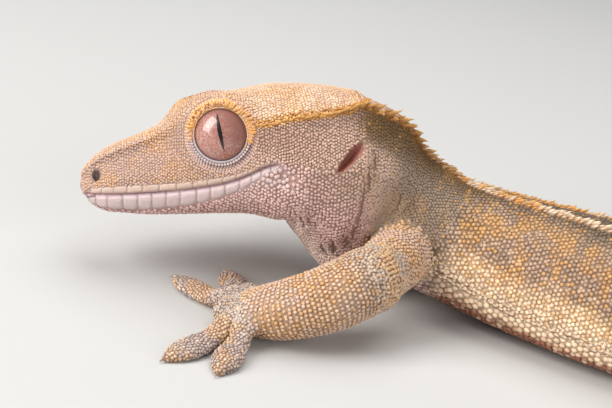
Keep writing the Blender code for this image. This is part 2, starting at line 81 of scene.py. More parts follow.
def bump(x: Array, middle: float, width: float) -> Array:
    """A bell of height 1 at middle that falls off over width."""
    return np.exp(-(((x - middle) / width) ** 2))


def norm(v: Array) -> Array:
    """The lengths of vectors along their last axis."""
    return np.linalg.norm(v, axis=-1)


def unit(v: Array) -> Array:
    """Vectors scaled to length 1 along their last axis."""
    return v / np.maximum(norm(v)[..., None], 1e-12)


def distances(points: Array) -> Array:
    """How far along a line of points each of them is."""
    return np.concatenate([[0.0], np.cumsum(norm(np.diff(points, axis=0)))])


def read_line(line: Array, along: Array, at: Array) -> Array:
    """Points at given distances on a line whose own points lie at the distances along."""
    return np.column_stack([np.interp(at, along, line[:, k]) for k in range(3)])


def search_tree(points: Array) -> KDTree:
    """A search tree over points, numbered in their order."""
    tree = KDTree(len(points))
    for k, p in enumerate(points):
        tree.insert(p, k)
    tree.balance()
    return tree


@dataclass(frozen=True)
class Profile:
    """A smooth curve through (position, value) stations, flat at its turning points.

    Attributes:
        stations: the positions and the values there, in rising order of position.
    """

    stations: Stations

    def __call__(self, at: Array | float) -> Array:
        """The curve's values.

        Args:
            at: positions, held to the first and last station.

        Returns:
            One value for each position.
        """
        known = np.array(self.stations, float)
        x, y = known[:, 0], known[:, 1]
        slope = np.diff(y) / np.diff(x)
        bend = np.concatenate([slope[:1], (slope[:-1] + slope[1:]) / 2, slope[-1:]])
        bend[1:-1][slope[:-1] * slope[1:] <= 0] = 0.0
        at = np.clip(at, x[0], x[-1])
        i = np.clip(np.searchsorted(x, at, side="right") - 1, 0, len(x) - 2)
        width = x[i + 1] - x[i]
        t = (at - x[i]) / width
        return (
            (1 + 2 * t) * (1 - t) ** 2 * y[i] + t * (1 - t) ** 2 * width * bend[i]
            + t * t * (3 - 2 * t) * y[i + 1] + t * t * (t - 1) * width * bend[i + 1]
        )


class Mottle:
    """Smooth seeded noise in space, for blotches that skin and scales share."""

    def __init__(self, cell: float, seed: int) -> None:
        """Args:
            cell: the size of a blotch, in millimetres.
            seed: picks the pattern.
        """
        self.cell = cell
        self.table = np.random.default_rng(seed).uniform(-1, 1, 4096)

    def _corner(self, i: Array) -> Array:
        """The table's values at corners of cells, picked by the corners' numbers."""
        return self.table[(i[..., 0] * 73 + i[..., 1] * 179 + i[..., 2] * 283) % 4096]

    def __call__(self, p: Array) -> Array:
        """The noise, from -1 to 1, at points of shape (n, 3)."""
        q = p / self.cell + 500.0
        i = np.floor(q).astype(int)
        t = q - i
        t = t * t * (3 - 2 * t)
        total = np.zeros(len(p))
        for corner in np.ndindex(2, 2, 2):
            c = np.array(corner)
            weight = np.prod(np.where(c, t, 1 - t), axis=1)
            total += weight * self._corner(i + c)
        return total


def smooth_line(points: Sequence[Sequence[float]], step: float = 0.25) -> tuple[Array, Array]:
    """A Catmull-Rom curve through points.

    Args:
        points: what the curve passes through.
        step: about how far apart its own points are.

    Returns:
        The curve's points and their distances along it.
    """
    p = np.array(points, float)
    p = np.vstack([2 * p[0] - p[1], p, 2 * p[-1] - p[-2]])
    line = [p[1]]
    for a, b, c, d in zip(p, p[1:], p[2:], p[3:]):
        count = max(2, int(np.linalg.norm(c - b) / step))
        for t in np.arange(1, count + 1) / count:
            line.append(0.5 * (2 * b + (c - a) * t + (2 * a - 5 * b + 4 * c - d) * t * t
                               + (3 * b - a - 3 * c + d) * t ** 3))
    made = np.array(line)
    return made, distances(made)


def across_and_up(back: Array, roll: Array | float) -> tuple[Array, Array]:
    """Left and up of sections whose axis runs back.

    Args:
        back: unit vectors, (n, 3).
        roll: degrees by which the left side lifts.

    Returns:
        The left and the up vectors.
    """
    level = unit(np.cross(back, (0.0, 0.0, 1.0)))
    above = np.cross(level, back)
    turn = np.radians(roll)[..., None] if np.ndim(roll) else math.radians(float(roll))
    return np.cos(turn) * level + np.sin(turn) * above, np.cos(turn) * above - np.sin(turn) * level


# The animal's shape


@dataclass(frozen=True)
class Drawing:
    """The head's place in the drawing, and the way from the drawing to the model.

    Attributes:
        snout: the tip of the snout, in millimetres.
        yaw, pitch, roll: the head's turn, in degrees.
    """

    snout: Triple = (-16.5, 0.9, 10.4)
    yaw: float = 12.4
    pitch: float = -7.0
    roll: float = 15.5

    def back(self) -> Array:
        """The way from the snout to the nape."""
        yaw, pitch = math.radians(self.yaw), math.radians(self.pitch)
        return np.array([math.cos(pitch) * math.cos(yaw), math.cos(pitch) * math.sin(yaw), -math.sin(pitch)])

    def axes(self) -> Array:
        """Back, left and up of the head, as the columns of a matrix."""
        back = self.back()
        left, up = across_and_up(back, self.roll)
        return np.column_stack([back, left, up])

    def at(self, a: Array | float, b: Array | float, c: Array | float) -> Array:
        """Points given back, left and up of the snout's tip, in the drawing."""
        local = np.stack(np.broadcast_arrays(*(np.asarray(v, float) for v in (a, b, c))), axis=-1)
        return np.array(self.snout) + local @ self.axes().T

    def pair(self, place: Triple, side: int) -> Array:
        """A place of the head in the drawing: side 1 is the left one and -1 its mirror image."""
        return self.at(place[0], side * place[1], place[2])

    def shift(self) -> Array:
        """The drawing's move to the model's frame, in millimetres, read from where the left eye is."""
        low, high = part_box("eye_left")
        middle = (np.array(low) + np.array(high)) / 2 / MM
        return middle - self.at(*EYE.centre)

    def place(self, points: Array) -> Array:
        """Points of the drawing in the model's frame, in metres."""
        return (np.asarray(points) + self.shift()) * MM

    def put(self, local: Array) -> Array:
        """Points of the head's own frame in the model's frame, in millimetres."""
        return self.at(*local.T) + self.shift()


@dataclass(frozen=True)
class Eye:
    """One eye and its rim, in the head's own frame (back, left, up).

    Attributes:
        centre, radius: the left eyeball.
        rim: the middle of the plane that the rim lies in.
        lean: how far the plane widens towards the back.
        reach: the head is flat up to the first distance from the rim's middle, and round from the second on.
        inner: the half width at which the plane starts to take over, and over how much more it does.
    """

    centre: Triple = (17.1, 6.25, 5.3)
    radius: float = 3.8
    rim: Triple = (16.6, 8.6, 5.35)
    lean: float = 0.21
    reach: tuple[float, float] = (3.5, 5.6)
    inner: tuple[float, float] = (3.3, 2.4)

    def plane(self, a: Array, b: Array, c: Array) -> Array:
        """The half width at a point, drawn to the rim's plane near the eye."""
        reach = np.hypot(a - self.rim[0], c - self.rim[2])
        start, width = self.inner
        share = ease((self.reach[1] - reach) / (self.reach[1] - self.reach[0])) * ease((b - start) / width)
        return b + share * (self.rim[1] + self.lean * (a - self.rim[0]) - b)

    def axes(self, side: int) -> Array:
        """Back, up and outward axes of one eye, as columns in the head's frame."""
        out = unit(np.array([-self.lean, float(side), 0.03]))
        rise = unit(np.array([0.0, 0.0, 1.0]) - out * out[2])
        return np.column_stack([np.cross(out, rise) * side, rise, out])

    def ring(self, side: int, angle: Array, reach: float, out: Array | float) -> Array:
        """Points round the rim.

        Args:
            side: 1 for the left eye, -1 for the right.
            angle: turns from the back upwards, in radians.
            reach: the distance from the eye's axis.
            out: the height over the rim's plane.

        Returns:
            Points in the head's frame, (n, 3).
        """
        back, rise, outward = self.axes(side).T
        middle = np.array([self.rim[0], side * self.rim[1], self.rim[2]])
        x, y, z = np.broadcast_arrays(np.cos(angle) * reach, np.sin(angle) * reach, out)
        return middle + x[..., None] * back + y[..., None] * rise + z[..., None] * outward


DRAWING = Drawing()
EYE = Eye()
SKIN_DEPTH = 0.16
PATCH = 0.003
LENGTH = 210
MOUTH_RAIL = 9.0
ROW_SHARE = 0.866


@dataclass(frozen=True)
class BodyShape:
    """The body from the snout to the tail: rails that run lengthwise, and the path they follow.

    A section's rails are numbered from 0 on the crown to 14 on the chin, and on up the right side to 28.
    Rail 3 is the crest and rail 9 the line of the mouth. Rails are measured out and up from its middle.

    Attributes:
        head_length: where the head's sections end.
        blend_length: over how much the neck takes on the trunk's sections.
        end: the tip of the tail.
        half_width, crown, brow, chin: the head's outline.
        mouth, mouth_end: the height of the mouth's line and where its groove stops.
        crest_rise, crest_out: the crest's height, and its place as a share of the half width.
        path: the axis behind the head.
        trunk_width, trunk_top, trunk_bottom: half sizes of neck, trunk and tail.
        roll: degrees by which the left side lifts.
        trunk_rails: (out, up) of the trunk's left rails as shares of its half sizes.
    """

    head_length: float = 33.0
    blend_length: float = 11.0
    end: float = 210.1
    half_width: Profile = Profile((
        (0.5, 0.0), (0.65, 1.0), (1.0, 1.9), (1.6, 2.8), (3.0, 4.0), (6.0, 5.2), (10.0, 6.5), (13.5, 7.7),
        (17.0, 8.7), (20.0, 9.6), (23.0, 10.6), (26.0, 11.3), (29.0, 11.4), (33.0, 10.6)))
    crown: Profile = Profile((
        (0.5, 0.0), (0.65, 0.65), (1.0, 1.25), (1.6, 1.95), (3.0, 3.1), (5.0, 4.15), (7.0, 4.85),
        (10.0, 6.2), (12.6, 7.5), (15.0, 8.5), (18.0, 9.6), (20.8, 10.5), (23.0, 10.95), (26.7, 11.05),
        (30.0, 10.8), (33.0, 10.3)))
    brow: Profile = Profile((
        (0.0, 0.0), (9.5, 0.0), (12.6, 1.45), (14.2, 1.3), (17.0, 1.05), (20.0, 0.35), (22.0, 0.0),
        (33.0, 0.0)))
    chin: Profile = Profile((
        (0.5, -0.5), (0.65, -1.4), (1.0, -2.1), (1.6, -2.8), (3.2, -3.75), (6.0, -4.1), (9.0, -4.25),
        (17.0, -4.1), (20.0, -4.2), (23.0, -4.9), (25.0, -5.3), (26.0, -6.8), (27.2, -8.3), (28.5, -10.2),
        (30.0, -11.6), (33.0, -12.6)))
    mouth: Profile = Profile((
        (0.5, -0.4), (0.65, -1.0), (1.0, -1.6), (1.6, -1.8), (5.5, -1.7), (10.0, -1.35), (14.5, -0.75),
        (18.0, 0.05), (20.0, 0.9), (21.5, 1.65), (23.0, 1.95), (24.2, 1.5), (33.0, 1.2)))
    mouth_end: float = 23.6
    crest_rise: Profile = Profile((
        (0.5, 0.0), (1.0, 0.8), (3.0, 2.5), (6.0, 3.9), (10.0, 5.6), (13.0, 7.9), (16.5, 8.3), (19.0, 6.9),
        (21.5, 6.3), (24.0, 6.95), (28.8, 7.6), (30.8, 8.0), (33.0, 8.7)))
    crest_out: Profile = Profile((
        (0.0, 0.75), (3.0, 0.66), (10.0, 0.74), (14.0, 0.93), (18.0, 0.97), (21.0, 0.96), (27.0, 0.95),
        (33.0, 0.90)))
    path: tuple[Triple, ...] = (
        (21.6, 9.2, 13.0), (29.8, 8.8, 9.6), (38.4, 5.7, 8.0), (48.0, 1.4, 7.7), (60.0, -2.9, 7.9),
        (72.0, -5.7, 7.6), (83.0, -6.9, 6.6), (93.0, -6.9, 4.9), (106.0, -5.2, 3.6), (120.0, -0.6, 2.8),
        (134.0, 5.6, 2.3), (148.0, 11.4, 2.0), (161.0, 14.6, 1.8), (173.0, 14.2, 1.5), (184.0, 10.2, 1.0))
    trunk_width: Profile = Profile((
        (33.0, 10.6), (37.0, 9.2), (42.0, 8.4), (50.0, 8.8), (60.0, 9.3), (72.0, 9.7), (84.0, 9.2),
        (95.0, 7.8), (102.0, 6.3), (108.0, 4.9), (114.0, 4.0), (126.0, 3.3), (145.0, 2.5), (165.0, 1.9),
        (182.0, 1.5), (190.0, 1.6), (196.0, 2.3), (203.0, 2.5), (208.0, 1.7), (210.0, 0.6)))
    trunk_top: Profile = Profile((
        (33.0, 10.3), (34.5, 9.3), (36.0, 8.1), (38.0, 6.7), (41.0, 5.7), (45.0, 5.7), (50.0, 6.4),
        (60.0, 7.6), (72.0, 8.2), (84.0, 8.0), (95.0, 7.0), (102.0, 5.8), (108.0, 4.8), (114.0, 4.0),
        (126.0, 3.1), (145.0, 2.3), (165.0, 1.8), (182.0, 1.4), (190.0, 1.2), (196.0, 1.1), (203.0, 1.0),
        (208.0, 0.8), (210.0, 0.4)))
    trunk_bottom: Profile = Profile((
        (33.0, -12.6), (37.0, -11.8), (42.0, -10.2), (50.0, -9.0), (60.0, -8.6), (72.0, -8.5), (84.0, -8.2),
        (95.0, -6.8), (102.0, -5.6), (108.0, -4.8), (114.0, -4.2), (126.0, -3.2), (145.0, -2.5),
        (165.0, -2.1), (185.0, -1.9), (200.0, -1.6), (210.0, -1.0)))
    roll: Profile = Profile((
        (33.0, 15.5), (45.0, 17.0), (60.0, 14.0), (72.0, 9.0), (85.0, 3.0), (97.0, 0.0), (210.0, 0.0)))
    trunk_rails: tuple[tuple[float, float], ...] = (
        (0.0, 0.965), (0.22, 0.985), (0.40, 0.99), (0.52, 0.97), (0.62, 0.88), (0.76, 0.71), (0.89, 0.47),
        (0.97, 0.20), (1.0, 0.02), (1.0, -0.12), (0.995, -0.29), (0.95, -0.56), (0.81, -0.82), (0.43, -0.97))

    @cache
    def _line(self) -> tuple[Array, Array]:
        """The axis and the distances along it."""
        inside = [DRAWING.at(share * self.head_length, 0.0, 0.0) for share in (0.0, 0.33, 0.66, 1.0)]
        return smooth_line([*inside, *self.path])

    def frames(self, s: Array) -> tuple[Array, Array, Array, Array]:
        """The sections at distances s from the snout.

        Args:
            s: distances.

        Returns:
            Their middles and their left, up and back vectors, each (n, 3).
        """
        line, along = self._line()
        centre = read_line(line, along, s)
        centre[s <= self.head_length] = DRAWING.at(s[s <= self.head_length], 0.0, 0.0)
        after = read_line(line, along, np.minimum(s + 2.0, along[-1]))
        behind = unit(after - read_line(line, along, s - 2.0))
        share = ease((s - self.head_length) / 3.0)[:, None]
        back = unit(behind * share + DRAWING.back() * (1 - share))
        left, up = across_and_up(back, self.roll(s))
        return centre, left, up, back

    def head_rails(self, a: Array) -> tuple[Array, Array]:
        """The left rails of the head.

        Args:
            a: distances from the snout.

        Returns:
            Out and up of rails 0 to 14, each (n, 15).
        """
        w, top, low, mouth = self.half_width(a), self.crown(a), self.chin(a), self.mouth(a)
        crest, out, brow = self.crest_rise(a), w * self.crest_out(a), self.brow(a)
        lips = np.minimum(1.0, np.minimum((mouth - low) / 1.9, w / 3.0))
        pouch = ease((a - 24.0) / 5.0)
        groove = 0.35 * lips * (1 - ease((a - self.mouth_end + 1.5) / 1.5))
        drop, cheek = crest - mouth, ease((a - self.mouth_end) / 3.0)
        rails = [
            (0.0 * w, top),
            (0.36 * out, top + 0.25 * brow),
            (0.74 * out, top + brow - 0.22 * (top - crest)),
            (out, crest),
            (0.985 * out, crest - 0.16 * drop),
            (0.4925 * (out + w), crest - 0.45 * drop),
            (0.99 * w, crest - 0.70 * drop),
            (w, mouth + lips),
            ((0.985 + 0.012 * cheek) * w, mouth + 0.28 * lips),
            ((0.975 + 0.022 * cheek) * w - groove, mouth),
            ((0.965 + 0.022 * cheek) * w, mouth - 0.28 * lips),
            ((0.93 - 0.10 * pouch) * w, mouth - 0.45 * (mouth - low)),
            ((0.74 - 0.22 * pouch) * w, low + (0.10 + 0.08 * pouch) * (mouth - low)),
            ((0.36 - 0.08 * pouch) * w, low),
            (0.0 * w, low),
        ]
        return np.stack([b for b, _ in rails], axis=1), np.stack([c for _, c in rails], axis=1)

    def rails(self, s: Array) -> tuple[Array, Array]:
        """All rails of a section.

        Args:
            s: distances from the snout.

        Returns:
            Out and up of the 28 rails, each (n, 28); out is negative on the right side.
        """
        b, c = self.head_rails(np.minimum(s, self.head_length))
        w, top, low = self.trunk_width(s), self.trunk_top(s), self.trunk_bottom(s)
        side = np.array([r[0] for r in self.trunk_rails] + [0.0])
        rise = np.array([r[1] for r in self.trunk_rails] + [-1.0])
        tb = w[:, None] * side
        tc = np.where(rise > 0, top[:, None] * rise, -low[:, None] * rise)
        behind = s > self.head_length
        joint_b = b * (tb.max(1) / b.max(1))[:, None]
        joint_c = c * np.where(c > 0, (tc.max(1) / c.max(1))[:, None], (tc.min(1) / c.min(1))[:, None])
        share = ease((s - self.head_length) / self.blend_length)[:, None]
        b = np.where(behind[:, None], (1 - share) * joint_b + share * tb, b)
        c = np.where(behind[:, None], (1 - share) * joint_c + share * tc, c)
        return np.concatenate([b, -b[:, 13:0:-1]], axis=1), np.concatenate([c, c[:, 13:0:-1]], axis=1)

    def local(self, s: Array, u: Array) -> tuple[Array, Array]:
        """Places on the sections, pair by pair.

        Args:
            s: distances from the snout.
            u: rail numbers, with any fraction.

        Returns:
            Out and up of each place.
        """
        i = np.floor(u).astype(int)
        t = (u - i)[:, None]
        rails = np.stack(self.rails(s), axis=-1)
        p, q, r, z = (rails[np.arange(len(s)), (i + k) % 28] for k in (-1, 0, 1, 2))
        d0, d1, d2 = (norm(end - start)[:, None] + 1e-6 for start, end in ((p, q), (q, r), (r, z)))
        start = ((r - q) * d0 + (q - p) * d1 * d1 / d0) / (d0 + d1)
        stop = ((z - r) * d1 * d1 / d2 + (r - q) * d2) / (d1 + d2)
        b, c = ((2 * t ** 3 - 3 * t ** 2 + 1) * q + (t ** 3 - 2 * t ** 2 + t) * start
                + (3 * t ** 2 - 2 * t ** 3) * r + (t ** 3 - t ** 2) * stop).T
        return np.where(s < self.head_length, np.sign(b) * EYE.plane(s, np.abs(b), c), b), c

    def at(self, s: Array, u: Array) -> Array:
        """Surface points in the drawing, laid on the floor where they would sink."""
        b, c = self.local(s, u)
        centre, left, up, _ = self.frames(s)
        points = centre + b[:, None] * left + c[:, None] * up
        points[:, 2] = np.maximum(points[:, 2], 0.0)
        return points


def mirrored(u: Array, side: int) -> Array:
    """Rails of the left side, or the same ones on the right for side -1."""
    return u if side > 0 else (28 - u) % 28


@dataclass(frozen=True)
class Tube:
    """A limb's length or a digit: elliptical sections along a path, closed by a dome at each end.

    Attributes:
        name: what it is.
        path: the points its axis passes through.
        widths, heights: half sizes by the share of the path.
        level: whether its sections stay nearly upright where it slopes.
    """

    name: str
    path: tuple[Triple, ...]
    widths: Stations
    heights: Stations
    level: bool = False

    @cache
    def line(self) -> tuple[Array, Array]:
        """The axis and the distances along it."""
        return smooth_line(self.path, 0.15)

    def length(self) -> float:
        """The axis's length."""
        return float(self.line()[1][-1])

    def size(self, s: Array, of: Stations) -> Array:
        """Half widths or heights at distances s, drawn in to nothing over the domes."""
        total = self.length()
        whole = Profile(tuple((share * total, v) for share, v in of))(s)
        cap = Profile(tuple((share * total, v) for share, v in self.heights))(s)
        past = np.maximum(-s, s - total) / np.maximum(cap, 1e-6)
        return whole * np.sqrt(np.clip(1 - np.clip(past, 0, 1) ** 2, 0, 1))

    def span(self) -> tuple[float, float]:
        """Where the surface starts and ends, domes included."""
        return -0.985 * self.heights[0][1], self.length() + 0.985 * self.heights[-1][1]

    def frames(self, s: Array) -> tuple[Array, Array, Array, Array]:
        """The sections at distances s.

        Args:
            s: distances along the axis, past its ends too.

        Returns:
            Their middles and their left, up and back vectors, each (n, 3).
        """
        line, along = self.line()

        def read(at: Array) -> Array:
            first, last = unit(line[1] - line[0]), unit(line[-1] - line[-2])
            before, past = np.minimum(at, 0)[:, None], np.maximum(at - along[-1], 0)[:, None]
            return read_line(line, along, at) + before * first + past * last

        back = unit(read(s + 0.6) - read(s - 0.6))
        if self.level:
            back = unit(back * np.array([1.0, 1.0, 0.25]))
        left, up = across_and_up(back, 0.0)
        return read(s), left, up, back

    def at(self, s: Array, u: Array) -> Array:
        """Surface points at distances s and turns u (0 to 28, counted from the left), laid on the floor."""
        centre, left, up, _ = self.frames(s)
        angle = u * (2 * math.pi / 28)
        points = (centre + (self.size(s, self.widths) * np.cos(angle))[:, None] * left
                  + (self.size(s, self.heights) * np.sin(angle))[:, None] * up)
        points[:, 2] = np.maximum(points[:, 2], 0.0)
        return points


@dataclass(frozen=True)
class Limb:
    """One arm or leg: an upper and a lower length, and five digits on a palm.

    Attributes:
        name: which limb.
        path: points from inside the trunk over the third, the elbow or knee, to the palm's front.
        tips: the digits' tips on the floor.
        upper, lower: (share, half width, half height) stations.
        knuckle: how far a digit arches just in front of the palm.
        digit: (share, half width, half height, height over the floor) stations of a digit.
    """

    name: str
    path: tuple[Triple, ...]
    tips: tuple[tuple[float, float], ...]
    upper: tuple[Triple, ...]
    lower: tuple[Triple, ...]
    knuckle: float = 0.9
    digit: tuple[tuple[float, float, float, float], ...] = (
        (0.06, 1.5, 1.5, 2.4), (0.22, 1.4, 1.4, 2.0), (0.36, 1.3, 1.25, 1.45), (0.46, 1.3, 1.1, 1.05),
        (0.54, 1.45, 0.95, 0.8), (0.66, 1.7, 0.9, 0.7), (0.78, 1.65, 0.8, 0.62), (0.89, 1.2, 0.68, 0.52),
        (0.95, 0.7, 0.5, 0.45), (0.99, 0.4, 0.36, 0.38))

    def lengths(self) -> list[Tube]:
        """The upper and the lower length."""
        def tube(part: str, path: tuple, stations: tuple) -> Tube:
            return Tube(f"{self.name}_{part}", path, tuple((q, w) for q, w, _ in stations),
                        tuple((q, h) for q, _, h in stations))

        return [tube("upper", self.path[:3], self.upper), tube("lower", self.path[2:], self.lower)]

    def digits(self) -> list[Tube]:
        """The five digits, each from inside the palm to its tip."""
        palm = np.array(self.path[-2])
        made = []
        for number, (x, y) in enumerate(self.tips):
            flat = np.array([x, y, 0.0]) - palm * (1, 1, 0)
            points = []
            for share, _, _, rise in self.digit:
                point = palm + flat * share
                point[2] = rise if share > 0.3 else palm[2] + (rise - palm[2]) * share / 0.3
                point[2] += self.knuckle * math.exp(-((share - 0.27) / 0.13) ** 2)
                points.append(tuple(point))
            line, along = smooth_line(points, 0.15)
            knots = [along[int(np.argmin(norm(line - p)))] / along[-1] for p in points]
            made.append(Tube(f"{self.name}_digit_{number}", tuple(points),
                             tuple((k, st[1]) for k, st in zip(knots, self.digit)),
                             tuple((k, st[2]) for k, st in zip(knots, self.digit)), level=True))
        return made


ARM_UPPER = ((0.0, 4.2, 4.4), (0.5, 3.7, 3.9), (1.0, 3.4, 3.6))
ARM_LOWER = ((0.0, 3.8, 4.0), (0.3, 3.7, 3.8), (0.62, 3.5, 3.3), (0.8, 4.0, 2.8), (1.0, 3.3, 1.8))
LEG_UPPER = ((0.0, 5.0, 5.2), (0.5, 4.6, 4.8), (1.0, 3.6, 3.8))
LEG_LOWER = ((0.0, 3.7, 3.8), (0.3, 3.7, 3.6), (0.66, 3.1, 2.9), (0.82, 3.8, 2.5), (1.0, 3.1, 1.6))
LIMBS = (
    Limb("left_arm", ((25.0, 6.0, 8.2), (22.4, -1.6, 8.1), (19.8, -7.6, 7.9), (15.6, -10.5, 6.1),
                      (10.8, -11.2, 4.0), (7.6, -9.8, 2.6), (5.0, -8.2, 1.8)),
         ((9.2, 1.6), (2.6, 3.8), (-3.2, -0.6), (-0.8, -20.2), (5.0, -21.2)), ARM_UPPER, ARM_LOWER),
    Limb("right_arm", ((29.0, 13.0, 8.2), (31.0, 19.5, 7.4), (31.6, 25.0, 6.4), (28.0, 28.6, 4.8),
                       (23.6, 30.6, 3.6), (20.2, 31.6, 2.6), (17.4, 32.2, 1.8)),
         ((17.6, 24.4), (11.8, 25.8), (9.0, 31.6), (12.0, 38.6), (19.0, 40.4)), ARM_UPPER, ARM_LOWER),
    Limb("left_leg", ((80.0, -8.6, 7.0), (71.5, -15.0, 7.0), (64.8, -20.6, 6.2), (68.8, -25.0, 4.8),
                      (75.0, -28.4, 3.4), (78.2, -30.8, 2.3), (80.2, -33.4, 1.6)),
         ((70.6, -34.4), (72.4, -41.0), (79.4, -43.6), (87.0, -41.4), (88.4, -34.0)), LEG_UPPER, LEG_LOWER),
    Limb("right_leg", ((81.0, -4.2, 7.0), (74.6, 3.4, 7.0), (69.8, 10.4, 6.2), (74.6, 13.8, 4.8),
                       (81.2, 15.8, 3.4), (84.6, 17.6, 2.3), (87.0, 19.8, 1.6)),
         ((77.6, 21.8), (80.4, 28.4), (87.8, 30.4), (95.0, 27.4), (95.0, 19.6)), LEG_UPPER, LEG_LOWER),
)


# Meshes


def linked(name: str, data: bpy.types.ID) -> Object:
    """An object that holds data, linked to the scene."""
    obj = bpy.data.objects.new(name, data)
    bpy.context.scene.collection.objects.link(obj)
    return obj


def mesh_object(name: str, points: Array, faces: Array | Sequence[Sequence[int]]) -> Object:
    """An object from points in the model's frame, in metres, and faces.

    Args:
        name: the piece's name.
        points: (n, 3).
        faces: triangles or quads by point number.

    Returns:
        The object, linked to the scene.
    """
    mesh = bpy.data.meshes.new(name)
    mesh.from_pydata(np.asarray(points).tolist(), [], np.asarray(faces).tolist()
                     if isinstance(faces, Array) else [list(f) for f in faces])
    mesh.update()
    return linked(name, mesh)


def turned_out(obj: Object) -> Object:
    """Turns the faces of a closed mesh outwards."""
    bm = bmesh.new()
    bm.from_mesh(obj.data)
    if bm.calc_volume(signed=True) < 0:
        bmesh.ops.reverse_faces(bm, faces=bm.faces)
        bm.to_mesh(obj.data)
    bm.free()
    return obj


def closed_grid(rows: int, columns: int) -> Array:
    """Triangles of a tube of rows of points, closed by a pole before the first row and one after the last.

    Args:
        rows, columns: how many points it has along and around.

    Returns:
        The triangles; the poles' numbers are rows * columns and rows * columns + 1.
    """
    i, j = np.meshgrid(np.arange(rows - 1), np.arange(columns), indexing="ij")
    a, b = i * columns + j, i * columns + (j + 1) % columns
    c, d = a + columns, b + columns
    sides = np.concatenate([np.stack([a, b, d], -1).reshape(-1, 3), np.stack([a, d, c], -1).reshape(-1, 3)])
    ring = np.arange(columns)
    front = np.stack([np.full(columns, rows * columns), (ring + 1) % columns, ring], -1)
    last = (rows - 1) * columns
    rear = np.stack([np.full(columns, rows * columns + 1), last + ring, last + (ring + 1) % columns], -1)
    return np.concatenate([sides, front, rear])


def ellipsoid(name: str, centre: Array, turn: Array, sizes: Sequence[float], sides: int,
              rows: int) -> Object:
    """A closed ellipsoid in the drawing.

    Args:
        name: the object's name.
        centre: its middle.
        turn: its axes, as columns.
        sizes: half sizes along the axes.
        sides, rows: how finely it's divided.

    Returns:
        The object.
    """
    polar = np.linspace(0, math.pi, rows + 2)[1:-1]
    around = np.arange(sides) * 2 * math.pi / sides
    x = np.sin(polar)[:, None] * np.cos(around) * sizes[0]
    y = np.sin(polar)[:, None] * np.sin(around) * sizes[1]
    z = np.cos(polar)[:, None] * np.ones(sides) * sizes[2]
    local = np.stack([x, y, z], -1).reshape(-1, 3)
    local = np.vstack([local, [[0, 0, sizes[2]], [0, 0, -sizes[2]]]])
    points = DRAWING.place(np.asarray(centre) + local @ np.asarray(turn).T)
    return turned_out(mesh_object(name, points, closed_grid(rows, sides)))


def combine(obj: Object, others: Sequence[Object], operation: str) -> None:
    """Joins or cuts an object by one Boolean, applies it and removes the others.

    Args:
        obj: what is joined to or cut.
        others: what it's joined with or cut by.
        operation: UNION or DIFFERENCE.
    """
    group = bpy.data.collections.new("cutters")
    for other in others:
        group.objects.link(other)
    modifier = obj.modifiers.new("combine", "BOOLEAN")
    modifier.operation = operation
    modifier.operand_type = "COLLECTION"
    modifier.collection = group
    modifier.solver = "MANIFOLD"
    bpy.context.view_layer.update()
    made = bpy.data.meshes.new_from_object(obj.evaluated_get(bpy.context.evaluated_depsgraph_get()))
    made.materials.clear()
    obj.modifiers.clear()
    old, obj.data = obj.data, made
    bpy.data.meshes.remove(old)
    for other in others:
        bpy.data.meshes.remove(other.data)
    bpy.data.collections.remove(group)


def store_points(mesh: Mesh, points: Array) -> None:
    """Moves a mesh's points, given in metres."""
    mesh.vertices.foreach_set("co", points.astype(np.float32).ravel())
    mesh.update()


def read_points(mesh: Mesh, normals: bool = False) -> Array:
    """A mesh's points, or its point normals, as an array."""
    made = np.empty(len(mesh.vertices) * 3, np.float32)
    if normals:
        mesh.vertex_normals.foreach_get("vector", made)
    else:
        mesh.vertices.foreach_get("co", made)
    return made.reshape(-1, 3).astype(float)


def colour_points(mesh: Mesh, name: str, colours: Array) -> None:
    """Stores a colour for each point of a mesh under a name."""
    layer = mesh.attributes.get(name) or mesh.attributes.new(name, "FLOAT_COLOR", "POINT")
    rgba = np.ones((len(colours), 4), np.float32)
    rgba[:, :3] = colours
    layer.data.foreach_set("color", rgba.ravel())


class Region(Enum):
    """Where a point of the skin belongs."""

    BODY = 0
    ARM = 1
    LEG = 2
    DIGIT = 3


@dataclass
class Source:
    """A surface before the skin is joined.

    Attributes:
        obj: its object.
        region: where it belongs.
        s, u, share: its points' distances, rails and shares of its length.
        points: the points, in millimetres of the model's frame.
    """

    obj: Object
    region: Region
    s: Array
    u: Array
    share: Array
    points: Array


# Markings


@dataclass(frozen=True)
class Palette:
    """The animal's colours, as linear light; the nape, neck and belly are painted darker as shade, and the
    throat lighter to lift its shade.
    """

    crown: Triple = (0.72, 0.49, 0.345)
    snout: Triple = (0.56, 0.375, 0.295)
    cheek: Triple = (0.59, 0.405, 0.315)
    temple: Triple = (0.475, 0.30, 0.225)
    lip: Triple = (0.62, 0.46, 0.43)
    lower_lip: Triple = (0.575, 0.455, 0.445)
    upper_lip: Triple = (0.60, 0.44, 0.36)
    groove: Triple = (0.54, 0.28, 0.31)
    jaw: Triple = (0.67, 0.455, 0.415)
    # The throat's own pink, painted lighter to lift the shade under the jaw.
    throat: Triple = (0.86, 0.66, 0.57)
    # Painted shade: the nape is painted darker than its own brown, and the neck partly so, as the shade
    # behind the head.
    nape: Triple = (0.148, 0.088, 0.036)
    neck: Triple = (0.30, 0.225, 0.165)
    back: Triple = (0.165, 0.12, 0.08)
    flank: Triple = (0.41, 0.28, 0.19)
    low_flank: Triple = (0.93, 0.67, 0.42)
    # Painted shade: the belly's own brown, painted darker as the shade under the body.
    belly: Triple = (0.31, 0.12, 0.062)
    cream: Triple = (0.88, 0.70, 0.50)
    gold: Triple = (0.62, 0.32, 0.08)
    arm: Triple = (0.63, 0.455, 0.34)
    hand: Triple = (0.53, 0.44, 0.37)
    digit: Triple = (0.48, 0.39, 0.35)
    tail: Triple = (0.27, 0.165, 0.10)
    rim: Triple = (0.50, 0.45, 0.48)
    spine: Triple = (0.80, 0.43, 0.13)


def blend(a: Array, b: Sequence[float], share: Array) -> Array:
    """Colours a drawn towards colour b by share, point by point."""
    return a + (np.asarray(b) - a) * np.clip(share, 0, 1)[:, None]


